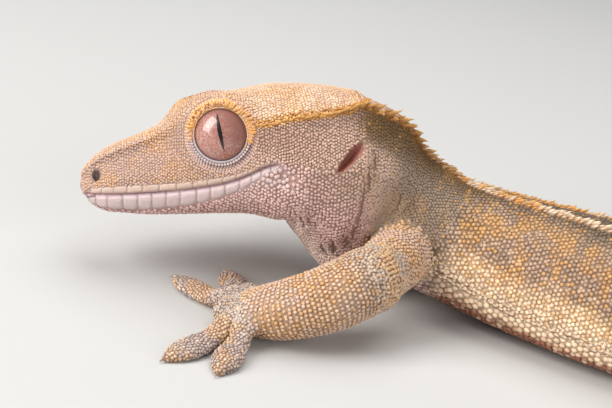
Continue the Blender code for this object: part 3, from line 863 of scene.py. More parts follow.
def layered(base: Sequence[float], count: int, layers: Sequence[tuple[Sequence[float], Array]]) -> Array:
    """A base colour for a number of points, with (colour, share) layers laid over it in order."""
    made = np.tile(base, (count, 1))
    for colour, share in layers:
        made = blend(made, colour, share)
    return made


class Markings:
    """The colour of any place on the skin, shared by the skin and every scale on it."""

    def __init__(self, palette: Palette) -> None:
        """Args:
            palette: the animal's colours.
        """
        self.palette = palette
        self.broad, self.middle, self.fine = Mottle(7.0, 1), Mottle(2.4, 2), Mottle(0.9, 3)
        self.streak = Mottle(1.3, 4)

    def body(self, s: Array, u: Array, p: Array) -> Array:
        """Colours on the body.

        Args:
            s: distances from the snout.
            u: rail numbers, 0 to 28.
            p: places in the drawing.

        Returns:
            Linear colours, (n, 3).
        """
        hue = self.palette
        v = np.minimum(u, 28 - u)
        broad, middle, fine = self.broad(p), self.middle(p), self.fine(p)
        streaks = self.streak(p * (1.0, 1.0, 0.45))
        head = layered(hue.cheek, len(s), (
            (hue.temple, bump(s, 23.0, 5.0) * bump(v, 4.6, 1.5)),
            (hue.snout, ease((19.0 - s) / 5.0) * ease((8.4 - v) / 1.5)),
            (hue.crown, ease((3.6 - v + 0.4 * middle) / 1.0)),
            (hue.cream, 0.30 * ease((streaks + 0.6 * fine) / 0.5) * ease((3.6 - v) / 1.0)),
            (hue.snout, 0.5 * bump(s, 13.5, 4.5) * ease((3.8 - v) / 1.0)),
            (hue.gold, 0.28 * ease((broad + 0.6 * middle - 0.1) / 0.5) * ease((3.8 - v) / 1.0)),
            (hue.gold, 0.30 * ease((middle + 0.15) / 0.5) * ease((17.0 - s) / 4.0) * ease((7.6 - v) / 2)),
            (hue.lip, ease((v - 7.5) / 0.5) * ease((11.3 - v) / 0.8) * ease((24.5 - s) / 2.0)),
            (hue.jaw, ease((v - 10.3) / 0.8) + 0.8 * bump(s, 24.5, 3.0) * ease((v - 7.5) / 1.5)),
            # The throat, painted lighter to lift the shade under the jaw.
            (hue.throat, ease((v - 11.5) / 1.0) * ease((s - 22.0) / 4.0)),
            (hue.groove, 0.9 * bump(v, 9.0, 0.2) * ease((24.2 - s) / 1.2))))
        trunk = layered(hue.flank, len(s), (
            (hue.back, ease((5.6 - v + 0.8 * middle) / 2.0)),
            (hue.gold, 0.55 * ease((streaks - 0.05) / 0.35) * ease((v - 3.6) / 2.0) * ease((12 - v) / 2)),
            (hue.low_flank, 0.5 * ease((middle + 0.8 * fine - 0.25) / 0.45) * ease((v - 6.2) / 3.0)),
            (hue.low_flank, 0.8 * ease((v - 8.2 + 0.8 * broad) / 2.0)),
            (hue.cream, 0.85 * bump(v, 11.0, 0.7)),
            # The belly, painted dark as shade.
            (hue.belly, ease((v - 11.6) / 0.5)),
            (hue.back, 0.5 * ease((broad - 0.25) / 0.3) * ease((9.5 - v) / 2))))
        # The neck: its own dark brown, partly painted shade, and darker still on the nape, as painted shade.
        neck = layered(hue.neck, len(s), (
            (hue.nape, ease((6.8 - v + 0.5 * broad) / 3.0)),
            (hue.gold, 0.14 * ease((streaks - 0.1) / 0.4)),
            # The throat, painted lighter to lift its shade.
            (hue.throat, ease((v - 11.0) / 1.5))))
        tail = layered(hue.tail, len(s), (
            (hue.back, ease((middle + broad) / 0.6)),
            (hue.cream, 0.5 * ease((broad - 0.2) / 0.3)),
            (hue.gold, 0.35 * ease((streaks - 0.1) / 0.3)),
            # The tail's underside, painted dark as shade.
            (hue.belly, ease((v - 11.2) / 1.0))))
        # A painted shadow under the crest's corner: there the nape's painted shade starts further forward.
        crest_shadow = ease((6.6 - v) / 2.0) * ease((v - 3.0) / 0.35)
        on_neck = ease((s - 33.4 + 1.5 * ease((v - 9.0) / 3.0) + 2.8 * crest_shadow) / 3.5)
        made = head + (neck - head) * on_neck[:, None]
        made = made + (trunk - made) * ease((s - 45.0 + 2.0 * middle) / 9.0)[:, None]
        made = made + (tail - made) * ease((s - 101.0 + 3.0 * broad) / 8.0)[:, None]
        made = blend(made, hue.spine, bump(v, 3.0, 0.22) * ease((s - 19.0) / 2.0) * ease((106.0 - s) / 8.0))
        made *= (1 + 0.07 * broad + 0.06 * middle + 0.05 * fine)[:, None]
        return np.clip(made, 0.01, 0.95)

    def limb(self, region: Region, share: Array, p: Array) -> Array:
        """Colours on limbs and digits.

        Args:
            region: which of them.
            share: from 0 at the root of the length to 1 at its tip.
            p: places in the drawing.

        Returns:
            Linear colours, (n, 3).
        """
        hue = self.palette
        broad, middle, fine = self.broad(p), self.middle(p), self.fine(p)
        if region is Region.DIGIT:
            made = layered(hue.hand, len(p), ((hue.digit, ease((share - 0.2 + 0.1 * middle) / 0.35)),))
        else:
            # Near the body the limbs take on the neck's colour, painted shade included.
            made = layered(hue.arm, len(p), (
                (hue.hand, ease((share - 0.72) / 0.2)), (hue.neck, 0.6 * ease((0.3 - share) / 0.3))))
        made = blend(made, hue.gold, 0.45 * ease((middle + 0.5 * fine) / 0.5))
        made = blend(made, hue.cream, 0.22 * ease((fine - 0.2) / 0.3))
        made *= (1 + 0.10 * broad + 0.07 * middle)[:, None]
        return np.clip(made, 0.01, 0.95)


# The skin


@dataclass(frozen=True)
class Crease:
    """A fold of the skin along a line of body places, sunk on the line and raised behind it.

    Attributes:
        line: (distance, rail) of each point.
        depth: how far the line sinks, in millimetres.
        width: how wide the fold is.
        swell: how far the skin rises on the side away from the snout.
    """

    line: Stations
    depth: float
    width: float
    swell: float = 0.0


@dataclass
class SkinMap:
    """The finished skin with what is known of each of its points.

    Attributes:
        obj: the skin.
        points, normals: its points and their normals, in millimetres of the model's frame.
        region: each point's region.
        s, u, share: the place on the surface that it came from.
        chart: its place on the unwrap that the scales' map uses.
    """

    obj: Object
    points: Array
    normals: Array
    region: Array
    s: Array
    u: Array
    share: Array
    chart: Array

    def __post_init__(self) -> None:
        """Reads the skin's triangles and readies the search for the nearest one."""
        mesh = self.obj.data
        mesh.calc_loop_triangles()
        corners = np.empty(len(mesh.loop_triangles) * 3, np.int32)
        mesh.loop_triangles.foreach_get("vertices", corners)
        self.corners = corners.reshape(-1, 3)
        self.hull = BVHTree.FromPolygons([Vector(p) for p in self.points], self.corners.tolist())

    def land(self, points: Array, reach: float) -> tuple[Array, Array, Array, Array]:
        """Drops points onto the skin.

        Args:
            points: in millimetres of the model's frame.
            reach: how far the skin may be from a point that is kept.

        Returns:
            The landed points, smooth normals there, which points were kept, and the nearest skin points.
        """
        found = np.array([[*hit[0], hit[2], hit[3]] if hit[0] else [0, 0, 0, 0, 9]
                          for hit in (self.hull.find_nearest(Vector(p)) for p in points)])
        kept = found[:, 4] < reach
        landed, face = found[kept, :3], found[kept, 3].astype(int)
        corners = self.corners[face]
        weights = 1 / (norm(self.points[corners] - landed[:, None]) + 1e-3)
        normals = unit((self.normals[corners] * weights[..., None]).sum(1))
        nearest = corners[np.arange(len(face)), weights.argmax(1)]
        return landed, normals, kept, nearest


@dataclass(frozen=True)
class Opening:
    """A hole cut in the skin on both sides of the head.

    Attributes:
        name: what opens there.
        place: its middle on the left side, in the head's frame.
        size: the cutter's half sizes, back, left and up.
        grid: the cutter's sides and rows.
        edge: how far from the middle the cut's edge runs, at most.
        inside_reach: how far from the middle the skin inside is coloured.
        colour: the colour inside; the nostril's, near black, is painted shade in its hole.
        lean: how far its top leans back, in degrees.
    """

    name: str
    place: Triple
    size: Triple
    grid: tuple[int, int]
    edge: float
    inside_reach: float = 0.0
    colour: Triple = (0.0, 0.0, 0.0)
    lean: float = 0.0

    def cutter(self, side: int) -> Object:
        """The ellipsoid that cuts it out, on side 1 or -1."""
        c, s = math.cos(math.radians(self.lean)), math.sin(math.radians(self.lean))
        turn = DRAWING.axes() @ np.array([[c, 0, s], [0, 1, 0], [-s, 0, c]])
        return ellipsoid(self.name, DRAWING.pair(self.place, side), turn, self.size, *self.grid)


BED = Opening("bed", EYE.centre, (EYE.radius + 0.1,) * 3, (56, 36), 4.9)
# The nostril's near-black inside is painted shade in its hole.
NOSTRIL = Opening("nostril", (2.53, 2.9, 0.47), (0.45, 0.9, 0.80), (20, 12), 1.3, 0.95, (0.08, 0.04, 0.035))
EAR = Opening("ear", (31.3, 10.93, 2.85), (0.48, 1.6, 2.45), (24, 16), 3.2, 3.0, (0.46, 0.17, 0.125), 45.0)


@dataclass
class Skin:
    """One unbroken skin over the body, limbs and digits, cut open at the eyes, nostrils and ears.

    Attributes:
        markings: the colours.
        depth: how far the skin lies inside the solids, for the scales.
        seams: how far the blend of a seam reaches on the body and limbs, on the digits and at the openings.
        creases: the folds on the animal's left side; the right side has them mirrored.
    """

    markings: Markings
    body: BodyShape = BodyShape()
    depth: float = SKIN_DEPTH
    seams: Triple = (2.0, 0.8, 0.22)
    creases: tuple[Crease, ...] = (
        Crease(((34.1, 5.7), (33.6, 9.0), (32.9, 10.4), (32.4, 10.85), (31.8, 11.3), (30.6, 11.6),
                (29.2, 11.95), (28.0, 12.5)), 0.5, 1.0, -0.25),
        Crease(((36.2, 10.6), (35.0, 10.9), (33.7, 11.1), (32.6, 11.3)), 0.18, 0.9),
        Crease(((24.9, 11.7), (25.9, 11.7), (27.0, 11.55), (28.1, 11.35)), 0.6, 2.4),
        Crease(((44.0, 11.9), (44.7, 11.35), (46.0, 10.8), (47.2, 10.3), (48.4, 9.9)), 1.1, 0.9, 0.35),
        Crease(((37.0, 8.5), (37.6, 9.6), (38.6, 10.6)), 0.22, 0.8, 0.1),
        Crease(((40.0, 7.0), (40.6, 8.6), (41.8, 9.8)), 0.22, 0.9, 0.1),
    )

    def body_source(self) -> Source:
        """The body's surface as a fine closed grid."""
        s = np.concatenate([np.geomspace(0.54, 1.6, 9)[:-1], np.arange(1.6, 33.0, 0.27),
                            np.arange(33.0, 104.0, 0.5), np.arange(104.0, 209.9, 0.9)])
        half = np.concatenate([np.arange(0, 7.0, 0.27), np.arange(7.0, 11.5, 0.135),
                               np.arange(11.5, 14.01, 0.3125)])
        u = np.concatenate([half, 28 - half[-2:0:-1]])
        rows, columns = len(s), len(u)
        ss, uu = np.repeat(s, columns), np.tile(u, rows)
        ends = np.array([s[0] - 0.03, s[-1] + 0.15])
        centre, _, up, _ = self.body.frames(ends[:1])
        tail_tip = self.body.at(np.full(8, s[-1]), np.arange(8) * 3.5).mean(0)
        points = np.vstack([self.body.at(ss, uu), [centre[0] + up[0] * -0.5, tail_tip]])
        obj = turned_out(mesh_object("body_grid", DRAWING.place(points), closed_grid(rows, columns)))
        all_s = np.append(ss, ends)
        return self._inset(obj, Region.BODY, all_s, np.append(uu, [7.0, 7.0]), all_s / LENGTH)

    def tube_source(self, tube: Tube, region: Region, step: float, sides: int) -> Source:
        """A limb's length or a digit as a closed grid.

        Args:
            tube: its shape.
            region: where it belongs.
            step: the distance from row to row.
            sides: points in a row.

        Returns:
            The surface.
        """
        low, high = tube.span()
        s = np.linspace(low, high, max(10, int((high - low) / step)))
        u = np.arange(sides) * 28 / sides
        ss, uu = np.repeat(s, sides), np.tile(u, len(s))
        middles = tube.frames(np.array([low, high]))[0]
        points = np.vstack([tube.at(ss, uu), middles])
        points[-2:, 2] = np.maximum(points[-2:, 2], 0)
        obj = turned_out(mesh_object(tube.name, DRAWING.place(points), closed_grid(len(s), sides)))
        all_s = np.append(ss, [low, high])
        return self._inset(obj, region, all_s, np.append(uu, [7, 7]), all_s / tube.length())

    def _inset(self, obj: Object, region: Region, s: Array, u: Array,
               share: Array) -> Source:
        """Draws a grid in by the coat's depth and notes where its points came from."""
        depth = self.depth if region is not Region.DIGIT else 0.6 * self.depth
        moved = read_points(obj.data) - read_points(obj.data, normals=True) * depth * MM
        store_points(obj.data, moved)
        return Source(obj, region, s, u, share, moved / MM)

    def build(self) -> SkinMap:
        """Joins the surfaces, opens, smooths, folds and colours them."""
        sources = [self.body_source()]
        for limb in LIMBS:
            region = Region.ARM if "arm" in limb.name else Region.LEG
            sources += [self.tube_source(tube, region, 0.5, 42) for tube in limb.lengths()]
            sources += [self.tube_source(tube, Region.DIGIT, 0.45, 20) for tube in limb.digits()]
        skin = sources[0].obj
        combine(skin, [source.obj for source in sources[1:]], "UNION")
        skin.name = skin.data.name = "skin"
        combine(skin, [hole.cutter(side) for side in (1, -1) for hole in (BED, NOSTRIL, EAR)], "DIFFERENCE")
        self._largest(skin)
        points = read_points(skin.data) / MM
        starts = np.cumsum([0] + [len(source.points) for source in sources])
        tree = search_tree(np.concatenate([source.points for source in sources]))
        hits = [tree.find(p) for p in points]
        found, gap = np.array([hit[1] for hit in hits]), np.array([hit[2] for hit in hits])
        owner = np.searchsorted(starts, found, side="right") - 1
        region = np.array([source.region.value for source in sources])[owner]
        s, u, share = (np.concatenate([getattr(source, what) for source in sources])[found]
                       for what in ("s", "u", "share"))
        points = self._smooth_seams(skin.data, points, owner, gap, region)
        store_points(skin.data, points * MM)
        points = self._fold(skin.data, points, region)
        store_points(skin.data, points * MM)
        skin.data.shade_smooth()
        normals = read_points(skin.data, normals=True)
        drawn = points - DRAWING.shift()
        colour_points(skin.data, "tint", self._tints(skin.data, drawn, region, s, u, share))
        spread = (owner * 7919 % 97) / 97
        along = np.where(owner == 0, 0.96 * s / LENGTH, 0.96 * (spread * 0.8 + 0.2 * share))
        around = np.where(owner == 0, 0.02 + 0.58 * u / 28, 0.64 + 0.34 * (owner + u / 28) / 29)
        chart = np.clip(np.column_stack([0.02 + along, around]), 0.01, 0.99)
        log.info("skin: %d points, %d faces", len(skin.data.vertices), len(skin.data.polygons))
        return SkinMap(skin, points, normals, region, s, u, share, chart)

    def _tints(self, mesh: Mesh, drawn: Array, region: Array, s: Array, u: Array,
               share: Array) -> Array:
        """The skin's colours.

        Args:
            mesh: the skin.
            drawn: its points in the drawing.
            region, s, u, share: where they came from.

        Returns:
            Linear colours, (n, 3).
        """
        tints = np.zeros((len(drawn), 3))
        for kind in Region:
            mask = region == kind.value
            if mask.any():
                tints[mask] = (self.markings.body(s[mask], u[mask], drawn[mask]) if kind is Region.BODY
                               else self.markings.limb(kind, share[mask], drawn[mask]))
        tints = self._even(mesh, tints, 3)
        # Deep in the holes the skin takes each hole's colour: the ear's own reddish brown, and near black in
        # the nostrils, a painted shade.
        inside = ease((norm(self.body.at(s, u) - drawn) - 0.2) / 0.2)
        for side in (1, -1):
            for hole in (EAR, NOSTRIL):
                deep = inside * (norm(drawn - DRAWING.pair(hole.place, side)) < hole.inside_reach)
                tints += (np.array(hole.colour) - tints) * deep[:, None]
        return tints

    @staticmethod
    def _largest(obj: Object) -> None:
        """Keeps an object's largest connected surface."""
        bm = bmesh.new()
        bm.from_mesh(obj.data)
        bm.verts.ensure_lookup_table()
        label = np.full(len(bm.verts), -1)
        groups = []
        for start in range(len(bm.verts)):
            if label[start] >= 0:
                continue
            label[start] = len(groups)
            queue, size = [start], 0
            while queue:
                vert = bm.verts[queue.pop()]
                size += 1
                for edge in vert.link_edges:
                    other = edge.other_vert(vert).index
                    if label[other] < 0:
                        label[other] = len(groups)
                        queue.append(other)
            groups.append(size)
        best = int(np.argmax(groups))
        bmesh.ops.delete(bm, geom=[v for v in bm.verts if label[v.index] != best], context="VERTS")
        bm.to_mesh(obj.data)
        bm.free()

    @staticmethod
    def _edges(mesh: Mesh) -> Array:
        """The mesh's edges as pairs of point numbers."""
        ends = np.empty(len(mesh.edges) * 2, np.int32)
        mesh.edges.foreach_get("vertices", ends)
        return ends.reshape(-1, 2)

    def _even(self, mesh: Mesh, values: Array, rounds: int,
              weight: Array | float = 1.0) -> Array:
        """Values averaged with their neighbours' for some rounds, each point by its weight."""
        ends = self._edges(mesh)
        both = np.concatenate([ends, ends[:, ::-1]])
        count = np.bincount(both[:, 0], minlength=len(values))[:, None]
        weight = np.broadcast_to(np.asarray(weight, float), (len(values),))[:, None]
        for _ in range(rounds):
            total = np.column_stack([np.bincount(both[:, 0], values[both[:, 1], k], minlength=len(values))
                                     for k in range(values.shape[1])])
            values = values + weight * 0.6 * (total / np.maximum(count, 1) - values)
        return values

    def _smooth_seams(self, mesh: Mesh, points: Array, owner: Array, gap: Array,
                      region: Array) -> Array:
        """Blends the skin over the lines where its surfaces were joined or cut.

        Args:
            mesh: the skin.
            points: its points, in millimetres.
            owner, region: the source and the region of each point.
            gap: how far each point is from its source's nearest one.

        Returns:
            The moved points.
        """
        ends = self._edges(mesh)
        crossing = owner[ends[:, 0]] != owner[ends[:, 1]]
        seam = gap > 0.02
        seam[ends[crossing].ravel()] = True
        opening = np.zeros(len(points), bool)
        for side in (1, -1):
            for hole in (BED, NOSTRIL, EAR):
                middle = DRAWING.pair(hole.place, side) + DRAWING.shift()
                opening |= norm(points - middle) < hole.edge
        digit = region == Region.DIGIT.value
        kinds = (~opening & ~digit, ~opening & digit, opening)
        weight = np.zeros(len(points))
        for kind, reach in zip(kinds, self.seams):
            mask = seam & kind
            tree = search_tree(points[mask])
            near = np.array([tree.find(p)[2] for p in points])
            weight = np.maximum(weight, ease(1 - near / reach))
        made = self._even(mesh, points, 14, weight)
        made[:, 2] = np.maximum(made[:, 2], 0.0)
        return made

    def _fold(self, mesh: Mesh, points: Array, region: Array) -> Array:
        """Sinks the creases and raises the folds beside them.

        Args:
            mesh: the skin.
            points: its points, in millimetres.
            region: each point's region.

        Returns:
            The moved points.
        """
        normals, step = read_points(mesh, normals=True), 0.3
        body = region == Region.BODY.value
        made = points.copy()
        for crease in self.creases:
            for mirrored in (False, True):
                line = [(at, 28 - rail if mirrored else rail) for at, rail in crease.line]
                knots = self.body.at(np.array([at for at, _ in line]), np.array([rail for _, rail in line]))
                path, _ = smooth_line(knots + DRAWING.shift(), step)
                tree = search_tree(path)
                reach = 3 * crease.width
                low, high = path.min(0) - reach, path.max(0) + reach
                for i in np.flatnonzero(body & ((points > low) & (points < high)).all(1)):
                    _, k, distance = tree.find(points[i])
                    if distance > reach:
                        continue
                    from_end = min(k, len(path) - 1 - k) * step
                    fade = float(ease(0.15 + from_end / 2.5))
                    behind = (points[i] - path[k]) @ DRAWING.back() > 0
                    sink = -crease.depth * math.exp(-(distance / (0.5 * crease.width)) ** 2)
                    lift = crease.swell * (1.0 if behind else -0.3) * (distance / crease.width) * math.exp(
                        1 - (distance / crease.width) ** 2)
                    made[i] += normals[i] * (sink + lift) * fade
        return made


# Finishes


class Socket:
    """A shader socket or a plain number, so that shader maths reads as Python."""

    def __init__(self, book: Nodes, value: bpy.types.NodeSocket | float) -> None:
        """Args:
            book: the nodes it belongs to.
            value: an output socket or a number.
        """
        self.book, self.value = book, value

    def _math(self, operation: str, *values: Socket | float, clamp: bool = False) -> Socket:
        """A Math node on this and other values."""
        return self.book.add("ShaderNodeMath", {"operation": operation, "use_clamp": clamp},
                             {k: v for k, v in enumerate((self, *values))})

    def __add__(self, other: Socket | float) -> Socket:
        """This plus another."""
        return self._math("ADD", other)

    __radd__ = __add__

    def __sub__(self, other: Socket | float) -> Socket:
        """This less another."""
        return self._math("SUBTRACT", other)

    def __rsub__(self, other: float) -> Socket:
        """A number less this."""
        return Socket(self.book, other)._math("SUBTRACT", self)

    def __mul__(self, other: Socket | float) -> Socket:
        """This times another."""
        return self._math("MULTIPLY", other)

    __rmul__ = __mul__

    def __truediv__(self, other: Socket | float) -> Socket:
        """This over another."""
        return self._math("DIVIDE", other)

    def __pow__(self, other: Socket | float) -> Socket:
        """This to a power."""
        return self._math("POWER", other)

    def clamp(self) -> Socket:
        """Held between 0 and 1."""
        return self._math("ADD", 0.0, clamp=True)

    def span(self, low: float, high: float) -> Socket:
        """A smooth step from 0 at low to 1 at high."""
        return self.book.add("ShaderNodeMapRange", {"interpolation_type": "SMOOTHSTEP"},
                             {"Value": self, "From Min": low, "From Max": high})


class Nodes:
    """A material's node tree, filled by expressions."""

    def __init__(self, name: str) -> None:
        """Args:
            name: the material's name.
        """
        self.material = bpy.data.materials.new(name)
        self.material.use_nodes = True
        self.tree = self.material.node_tree
        self.shader = self.tree.nodes["Principled BSDF"]

    def add(self, kind: str, settings: dict, inputs: dict, output: int | str = 0) -> Socket:
        """Adds a node.

        Args:
            kind: the node's type.
            settings: its properties.
            inputs: values or sockets by input name or number.
            output: which output to return.

        Returns:
            The output, wrapped.
        """
        node = self.tree.nodes.new(kind)
        for name, value in settings.items():
            setattr(node, name, value)
        for name, value in inputs.items():
            value = value.value if isinstance(value, Socket) else value
            if isinstance(value, bpy.types.NodeSocket):
                self.tree.links.new(value, node.inputs[name])
            else:
                node.inputs[name].default_value = value
        return Socket(self, node.outputs[output])

    def attribute(self, name: str, output: str = "Color") -> Socket:
        """A stored attribute of the surface."""
        return self.add("ShaderNodeAttribute", {"attribute_name": name}, {}, output)

    def place(self) -> Socket:
        """Object coordinates."""
        return self.add("ShaderNodeTexCoord", {}, {}, "Object")

    def noise(self, scale: float, detail: float = 3.0, where: Socket | None = None) -> Socket:
        """Noise of about 1 / scale metres."""
        return self.add("ShaderNodeTexNoise", {},
                        {"Vector": where or self.place(), "Scale": scale, "Detail": detail})

    def cells(self, scale: float, feature: str = "F1", output: str = "Distance",
              where: Socket | None = None) -> Socket:
        """A Voronoi pattern of cells."""
        return self.add("ShaderNodeTexVoronoi", {"feature": feature},
                        {"Vector": where or self.place(), "Scale": scale}, output)

    def mix(self, share: Socket | float, a: Socket | tuple, b: Socket | tuple, how: str = "MIX") -> Socket:
        """Colours a and b mixed by share."""
        def colour(c: Socket | tuple) -> Socket | tuple:
            return c if isinstance(c, Socket) or len(c) == 4 else (*c, 1.0)

        return self.add("ShaderNodeMix", {"data_type": "RGBA", "blend_type": how},
                        {0: share, 6: colour(a), 7: colour(b)}, 2)

    def bump(self, height: Socket, distance: float, strength: float) -> Socket:
        """A bump of height over distance metres."""
        return self.add("ShaderNodeBump", {}, {"Height": height, "Distance": distance, "Strength": strength})

    def finish(self, **inputs: Socket | float | tuple) -> Material:
        """Sets the shader's sockets: spaces in their names are written as underscores."""
        for name, value in inputs.items():
            socket = self.shader.inputs[name.replace("_", " ")]
            if isinstance(value, Socket):
                self.tree.links.new(value.value, socket)
            else:
                socket.default_value = value
        return self.material


@dataclass(frozen=True)
class SkinFinish:
    """Bare skin between and under the scales, painted darker as shade: matt, with fine grain.

    Attributes:
        name: the material's name.
        roughness: of the dry skin.
        darken: what the tint is multiplied by, for painted shade between the scales and in the grain's
            hollows.
    """

    name: str = "bare_skin"
    roughness: float = 0.62
    darken: float = 0.62

    def make(self) -> Material:
        """Builds the material."""
        book = Nodes(self.name)
        tint = book.attribute("tint")
        grain = book.cells(2600.0)
        # Painted shade: the tint darkened towards the edges of the grain's cells, where the bump sinks.
        shade = book.mix(1.0, tint, (self.darken, self.darken * 0.93, self.darken * 0.9), "MULTIPLY")
        base = book.mix(grain.span(0.0, 0.5), tint, shade)
        return book.finish(Base_Color=base, Roughness=self.roughness, Subsurface_Weight=0.12,
                           Subsurface_Radius=(0.6, 0.3, 0.2), Subsurface_Scale=0.0006,
                           Normal=book.bump(1 - grain, 0.00006, 0.7))


@dataclass(frozen=True)
class EyeFinish:
    """A gecko's eye under its clear scale: a thin slit in a finely netted iris.

    Attributes:
        name: the material's name.
        centre: the eye's middle in metres, in the model's frame.
        turn: the eye's axes as a turn.
        side: 1 for the left eye, -1 for the right.
        slit: the pupil's place along the eye, lean, height of its middle, half height and half width.
        iris, pale, shade: the iris, its paler rays, and the dark colour of its flecks and of its painted
            shade.
        vein: the net over it.
        painted_lid_shade: how much darker the iris gets up and back, as painted shade from the lid.
        rim, pupil: the ring round the iris, and the slit.
    """

    name: str
    centre: Triple
    turn: Triple
    side: float = 1.0
    slit: tuple[float, float, float, float, float] = (0.143, 0.1955, 0.30, 2.25, 0.25)
    iris: Triple = (0.45, 0.205, 0.16)
    vein: Triple = (0.34, 0.06, 0.04)
    shade: Triple = (0.20, 0.095, 0.075)
    painted_lid_shade: float = 0.38
    pale: Triple = (0.58, 0.36, 0.30)
    rim: Triple = (0.10, 0.035, 0.03)
    pupil: Triple = (0.004, 0.003, 0.003)

    def make(self) -> Material:
        """Builds the material in the eye's own coordinates: x back, y up, z out, in millimetres."""
        book = Nodes(self.name)
        local = book.add("ShaderNodeMapping", {"vector_type": "TEXTURE"},
                         {"Vector": book.place(), "Location": self.centre, "Rotation": self.turn,
                          "Scale": (MM, MM, MM)})
        x = self.side * book.add("ShaderNodeSeparateXYZ", {}, {0: local}, "X")
        y = book.add("ShaderNodeSeparateXYZ", {}, {0: local}, "Y")
        reach = (x * x + y * y) ** 0.5
        wobble = book.noise(2.6, 2.0, local)
        off = x - self.slit[0] + self.slit[1] * y + 0.10 * (wobble - 0.5)
        up = (y - self.slit[2]) / self.slit[3]
        half = self.slit[4] * (1 - up * up)
        inside = (half - (off * off) ** 0.5).span(-0.02, 0.03)
        rays = book.add("ShaderNodeTexNoise", {}, {"Vector": book.add(
            "ShaderNodeVectorMath", {"operation": "MULTIPLY"}, {0: local, 1: (1.0, 0.55, 1.0)}),
            "Scale": 2.4, "Detail": 5.0, "Roughness": 0.65, "Distortion": 1.6})
        net = book.cells(2.1, "DISTANCE_TO_EDGE", where=book.add(
            "ShaderNodeVectorMath", {"operation": "ADD"}, {0: local, 1: book.add(
                "ShaderNodeTexNoise", {}, {"Vector": local, "Scale": 1.6, "Detail": 3.0}, "Color")}))
        lines = 1 - net.span(0.0, 0.13)
        colour = book.mix(rays.span(0.35, 0.7), self.iris, self.pale)
        fleck = book.noise(7.0, 3.0, local)
        colour = book.mix(fleck.span(0.46, 0.6) * 0.6, colour, self.shade)
        # Painted shade from the lid: the iris darker up and back.
        colour = book.mix((self.painted_lid_shade * (0.55 * y + 0.65 * x + 0.35)).clamp(), colour, self.shade)
        colour = book.mix((lines * 0.7).clamp(), colour, self.vein)
        colour = book.mix(reach.span(2.5, 3.1), colour, self.rim)
        colour = book.mix(inside, colour, self.pupil)
        return book.finish(Base_Color=colour, Roughness=0.32,
                           Coat_Weight=1.0, Coat_Roughness=0.02, Coat_IOR=1.42)


@dataclass(frozen=True)
class StageFinish:
    """A plain matt studio surface."""

    name: str = "studio"
    colour: Triple = (0.58, 0.576, 0.565)

    def make(self) -> Material:
        """Builds the material."""
        book = Nodes(self.name)
        cloud = book.noise(3.0)
        shade = tuple(0.97 * c for c in self.colour)
        return book.finish(Base_Color=book.mix(cloud, self.colour, shade), Roughness=0.85)


# Scales


@dataclass(frozen=True)
class Form:
    """The shape of one scale: rings of points from its sunk base to its tip.

    Attributes:
        name: what it is.
        rings: (radius, height, lean backwards) of each ring, for a scale of half width 1 and height 1.
        tip: the height and the lean of the tip.
        sides: how many sides it has.
    """

    name: str
    rings: tuple[Triple, ...]
    tip: tuple[float, float]
    sides: int = 6

    def build(self) -> Object:
        """Makes the scale once, closed.

        Returns:
            The scale, with how far each point rises and its place on the scale's patch of the map.
        """
        turns = np.arange(self.sides) * 2 * math.pi / self.sides
        points, rise, patch = [], [], []
        for radius, height, lean in self.rings:
            risen = max(0.0, height / self.tip[0])
            reach = 0.5 * (1.0 - risen * 0.8)
            for turn in turns:
                points.append((lean + radius * math.cos(turn), radius * math.sin(turn), height))
                rise.append(risen)
                patch.append((reach * math.cos(turn), reach * math.sin(turn), 0.0))
        points.append((self.tip[1], 0.0, self.tip[0]))
        rise.append(1.0)
        patch.append((0.0, 0.0, 0.0))
        faces = [tuple(range(self.sides))[::-1]]
        for row in range(len(self.rings) - 1):
            for k in range(self.sides):
                a, b = row * self.sides + k, row * self.sides + (k + 1) % self.sides
                faces.append((a, b, b + self.sides, a + self.sides))
        last = (len(self.rings) - 1) * self.sides
        faces += [(last + k, last + (k + 1) % self.sides, len(points) - 1) for k in range(self.sides)]
        obj = turned_out(mesh_object(f"form_{self.name}", np.array(points), faces))
        obj.data.shade_smooth()
        obj.data.attributes.new("rise", "FLOAT", "POINT").data.foreach_set("value", rise)
        obj.data.attributes.new("patch", "FLOAT_VECTOR", "POINT").data.foreach_set("vector", np.ravel(patch))
        obj.hide_render = True
        return obj


class ScaleForm(Enum):
    """The kinds of scale and spine."""

    GRANULE = Form("granule", ((1.0, -0.35, 0.0), (0.74, 0.62, 0.03)), (1.0, 0.06))
    BEAD = Form("bead", ((1.06, -0.3, 0.0), (0.74, 0.62, 0.05)), (1.10, 0.10))
    CONE = Form("cone", ((1.0, -0.25, 0.0), (0.60, 0.38, 0.12)), (1.0, 0.45), 5)
    SPINE = Form("spine", ((1.0, -0.2, 0.0), (0.52, 0.42, 0.18)), (1.0, 0.75), 5)


